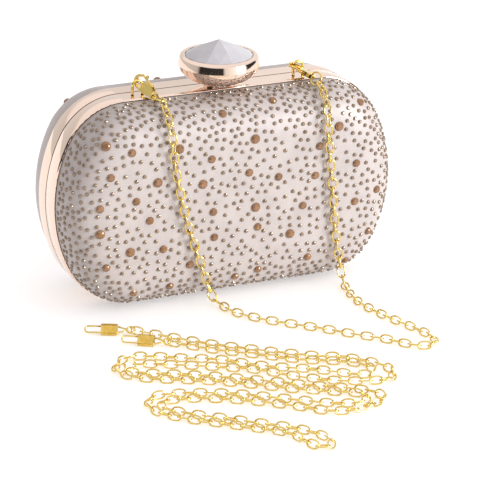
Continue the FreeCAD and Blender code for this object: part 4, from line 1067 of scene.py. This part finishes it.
def satin_material(name, low, high, rough, sheen):
    """Satin: fine slanting ribs, soft sheen and a faint unevenness of colour."""
    material, tree, shader = new_material(name)
    link_nodes(tree, spread_colour(tree, noise(tree, 90), low, high), shader.inputs["Base Color"])
    coords = tree.nodes.new("ShaderNodeTexCoord")
    ribs = tree.nodes.new("ShaderNodeTexWave")
    ribs.wave_type = "BANDS"
    ribs.bands_direction = "DIAGONAL"
    ribs.inputs["Scale"].default_value = 900
    ribs.inputs["Distortion"].default_value = 1.2
    ribs.inputs["Detail"].default_value = 2
    link_nodes(tree, coords.outputs["Object"], ribs.inputs["Vector"])
    bump(tree, shader, ribs.outputs["Fac"], 0.16, 0.0001)
    shader.inputs["Roughness"].default_value = rough
    shader.inputs["Sheen Weight"].default_value = sheen
    shader.inputs["Sheen Roughness"].default_value = 0.4
    shader.inputs["Specular IOR Level"].default_value = 0.6
    return material


def gem(name, low, high, rough, metallic):
    """A foil-backed stone: its facets mirror the studio."""
    material, tree, shader = new_material(name)
    link_nodes(tree, spread_colour(tree, noise(tree, 220), low, high), shader.inputs["Base Color"])
    shader.inputs["Roughness"].default_value = rough
    shader.inputs["Metallic"].default_value = metallic
    shader.inputs["Coat Weight"].default_value = 0.6
    shader.inputs["Coat Roughness"].default_value = 0.03
    return material


def facet_material(name, level):
    """One painted shade of the foil-backed crystal: clear glass over a foil of that brightness, which stands
    in for the light and dark that the facet reflects.
    """
    low = (level * 0.92, level * 0.90, level * 0.96)
    high = (level, level * 0.98, level * 1.03)
    material, tree, shader = new_material(name)
    link_nodes(tree, spread_colour(tree, noise(tree, 160, 6.0), low, high), shader.inputs["Base Color"])
    shader.inputs["Roughness"].default_value = 0.07
    shader.inputs["Metallic"].default_value = 0.15
    shader.inputs["Specular IOR Level"].default_value = 0.3
    shader.inputs["Coat Weight"].default_value = 0.1
    shader.inputs["Coat Roughness"].default_value = 0.02
    return material


def paper_material():
    material, tree, shader = new_material("floor_paper")
    tone = spread_colour(tree, noise(tree, 3), (0.93, 0.93, 0.94), (0.95, 0.95, 0.95))
    link_nodes(tree, tone, shader.inputs["Base Color"])
    shader.inputs["Roughness"].default_value = 0.9
    return material


FLOOR = paper_material()
ROSE = metal("rose_gold_polished", (0.85, 0.665, 0.55), (0.89, 0.71, 0.595), 0.05, 0.09)
# The frames carry a painted shadow line in dark brown along the seam where they meet
FRAME = metal("rose_gold_frame", (0.85, 0.665, 0.55), (0.89, 0.71, 0.595), 0.05, 0.09,
              seam=(0.16, 0.09, 0.06))
HINGE = metal("rose_gold_satin", (0.78, 0.60, 0.49), (0.85, 0.67, 0.56), 0.22, 0.32)
STEEL = metal("spring_steel", (0.58, 0.57, 0.56), (0.66, 0.65, 0.64), 0.2, 0.3)
GOLD = metal("chain_gold", (0.78, 0.58, 0.17), (0.88, 0.68, 0.24), 0.09, 0.16, 300)
WARM_GOLD = metal("long_chain_gold", (0.78, 0.58, 0.17), (0.88, 0.68, 0.25), 0.09, 0.16, 300)
SATIN = satin_material("champagne_satin", (0.42, 0.375, 0.365), (0.48, 0.43, 0.415), 0.42, 0.08)
# Painted shadow for the satin's rim in the gap beside the frame
SATIN_RIM_SHADOW = satin_material("satin_painted_rim_shadow", (0.10, 0.07, 0.055), (0.15, 0.11, 0.09), 0.6, 0.0)
LINING = satin_material("lining_cloth", (0.50, 0.39, 0.34), (0.56, 0.44, 0.39), 0.7, 0.1)
STONE = gem("rhinestone_face", (0.96, 0.90, 0.84), (1.0, 0.98, 0.96), 0.10, 0.0)
# Painted shade and dark reflection on the small stones' sides
STONE_PAINTED_SHADE = gem("rhinestone_painted_shade", (0.20, 0.14, 0.09), (0.32, 0.24, 0.18), 0.2, 0.4)
TOPAZ = gem("topaz_face", (0.90, 0.52, 0.24), (1.0, 0.68, 0.40), 0.10, 0.15)
# Painted shade and dark reflection on the big stones' sides
TOPAZ_PAINTED_SHADE = gem("topaz_painted_shade", (0.22, 0.11, 0.05), (0.34, 0.18, 0.09), 0.15, 0.4)
# Four painted shades for the crystal's facets, from light to dark: painted reflection and shade
CRYSTAL_FACET_SHADES = [facet_material("crystal_painted_shade_" + word, level)
           for word, level in (("white", 0.55), ("light", 0.26), ("grey", 0.12), ("slate", 0.02))]
# Painted shade and warm reflection for the knob bowl's underside
ROSE_UNDERSIDE_SHADE = metal("rose_gold_underside_shade", (0.76, 0.50, 0.24), (0.85, 0.59, 0.32), 0.08, 0.14)


# Assembly
def stand_for(thing, node, body, slot, *looks):
    """A piece in the place of a CAD node, on the node's body."""
    give(thing, *looks)
    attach(thing, body)
    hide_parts(node)
    return thing


def ease(name, width):
    """Rounds the sharp edges of a part that keeps its own shape."""
    weld = nodes[name].modifiers.new("weld", "WELD")
    weld.merge_threshold = WELD_REACH * MM
    edges = nodes[name].modifiers.new("edges", "BEVEL")
    edges.width = width * MM
    edges.segments = EASE_SEGMENTS
    edges.angle_limit = math.radians(EASE_ANGLE)


make_camera()
make_world()
floor_sheet = make_stage()
spare(key_light(), floor_sheet)
floor_light(floor_sheet)

# Chains first, then their jump rings and the clips
short_points = [Vector(SHORT_START) * MM] + route_points(SHORT_ROUTE_SHARES) + [Vector(SHORT_END) * MM]
end_rolls = ((START_TWIST - TWIST_OFFSET) * math.pi, (END_TWIST + TWIST_OFFSET) * math.pi)
short_links, short_line, short_length = chain(
    "short_chain_links", short_points, SHORT_LINK_STEPS, SHORT_LINK_SIDES, Vector((0, -1, 0)),
    SHORT_LEAN, end_rolls)
long_links, long_line, long_length = chain(
    "long_chain_links", route_points(LONG_ROUTE_SHARES), LONG_LINK_STEPS, LONG_LINK_SIDES, Vector((0, 0, 1)),
    LONG_LEAN)
stand_for(short_links, "short_chain", "front_half", "chain_gold", GOLD)
stand_for(long_links, "long_chain", "front_half", "long_chain_gold", WARM_GOLD)
for name, ring in (("left_jump_ring", LEFT_RING), ("right_jump_ring", RIGHT_RING)):
    loop = wire(name + "_wire", [ring_path(*ring)], RING_WIRE, WIRE_SIDES, True)
    stand_for(loop, name, "front_half", "chain_gold", GOLD)
for name, clip in (("first", FIRST_CLIP), ("second", SECOND_CLIP)):
    hook = clip_hook(name + "_bent_hook", clip)
    sleeve = clip_sleeve(name + "_ribbed_sleeve", clip)
    stand_for(hook, name + "_clip_hook", "front_half", "long_chain_gold", WARM_GOLD)
    stand_for(sleeve, name + "_clip_sleeve", name + "_sleeve", "long_chain_gold", WARM_GOLD)

# Knob and bails
bowl = lathe("turned_bowl", bowl_section(), BOWL_SIDES, Vector((0, PIVOT_Y, FOOT_Z)), BOWL_WIDEST)
stand_for(bowl, "knob_cup", "knob", "frame_metal", ROSE, ROSE_UNDERSIDE_SHADE)
cut_crystal = crystal("cut_crystal", Vector((0, PIVOT_Y, FOOT_Z + KNOB_SEAT)))
stand_for(cut_crystal, "knob_crystal", "knob", "crystal", *CRYSTAL_FACET_SHADES)
bails = wire("bent_bails", bail_paths(), BAIL_WIRE, WIRE_SIDES, False)
stand_for(bails, "chain_bails", "front_half", "frame_metal", GOLD)

# Shells, linings and stones
for half, rear in (("front", False), ("rear", True)):
    body = half + "_half"
    start = BAND_FRONT - SHELL_SEAT
    inner = SHELL_WALL + LINING_FIT
    cover = shell_piece(half + "_satin", profile(), profile(SHELL_WALL), start, rear)
    stand_for(cover, half + "_shell", body, "satin", SATIN, SATIN_RIM_SHADOW)
    cloth = shell_piece(half + "_lining_cloth", profile(inner), profile(inner + LINING_WALL), start, rear)
    stand_for(cloth, half + "_lining", body, "lining", LINING, LINING)
    large = big_spots(LARGE_STONE_SHARES)
    medium = big_spots(MEDIUM_STONE_SHARES)
    taken = [(spot, LARGE_RADIUS) for spot in large] + [(spot, MEDIUM_RADIUS) for spot in medium]
    small = small_spots(REAR_SEED if rear else FRONT_SEED, taken, REAR_BARE if rear else 0.0)
    print(half, "small stones", len(small))
    for label, spots, radius, rise in (
        ("large", large, LARGE_RADIUS, LARGE_RISE), ("medium", medium, MEDIUM_RADIUS, MEDIUM_RISE),
    ):
        name = half + "_" + label
        stones = stone_mesh(name + "_topaz", spots, radius, TOPAZ_SIDES, rise, TOPAZ_TIERS, rear)
        stand_for(stones, name + "_stones", body, "topaz", TOPAZ_PAINTED_SHADE, TOPAZ)
    stones = stone_mesh(half + "_rhinestones", small, SMALL_RADIUS, SMALL_SIDES, SMALL_RISE,
                        SMALL_TIERS, rear)
    give(stones, STONE_PAINTED_SHADE, STONE)
    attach(stones, body)

# Metal parts that keep their own shapes
for name, material in (
    ("front_frame", FRAME), ("rear_frame", FRAME), ("clasp_plate", ROSE), ("clasp_bracket", HINGE),
    ("clasp_lever", HINGE), ("front_hinge_leaf", HINGE), ("rear_hinge_leaf", HINGE), ("hinge_pin", STEEL),
    ("clasp_pivot_pin", STEEL), ("clasp_spring", STEEL), ("catch_spring", STEEL),
):
    give(nodes[name], material)
for name in ("left_clasp_body", "left_clasp_gate", "right_clasp_body", "right_clasp_gate"):
    give(nodes[name], GOLD)
    ease(name, CLASP_EASE)
for name in ("front_frame", "rear_frame"):
    ease(name, FRAME_EASE)
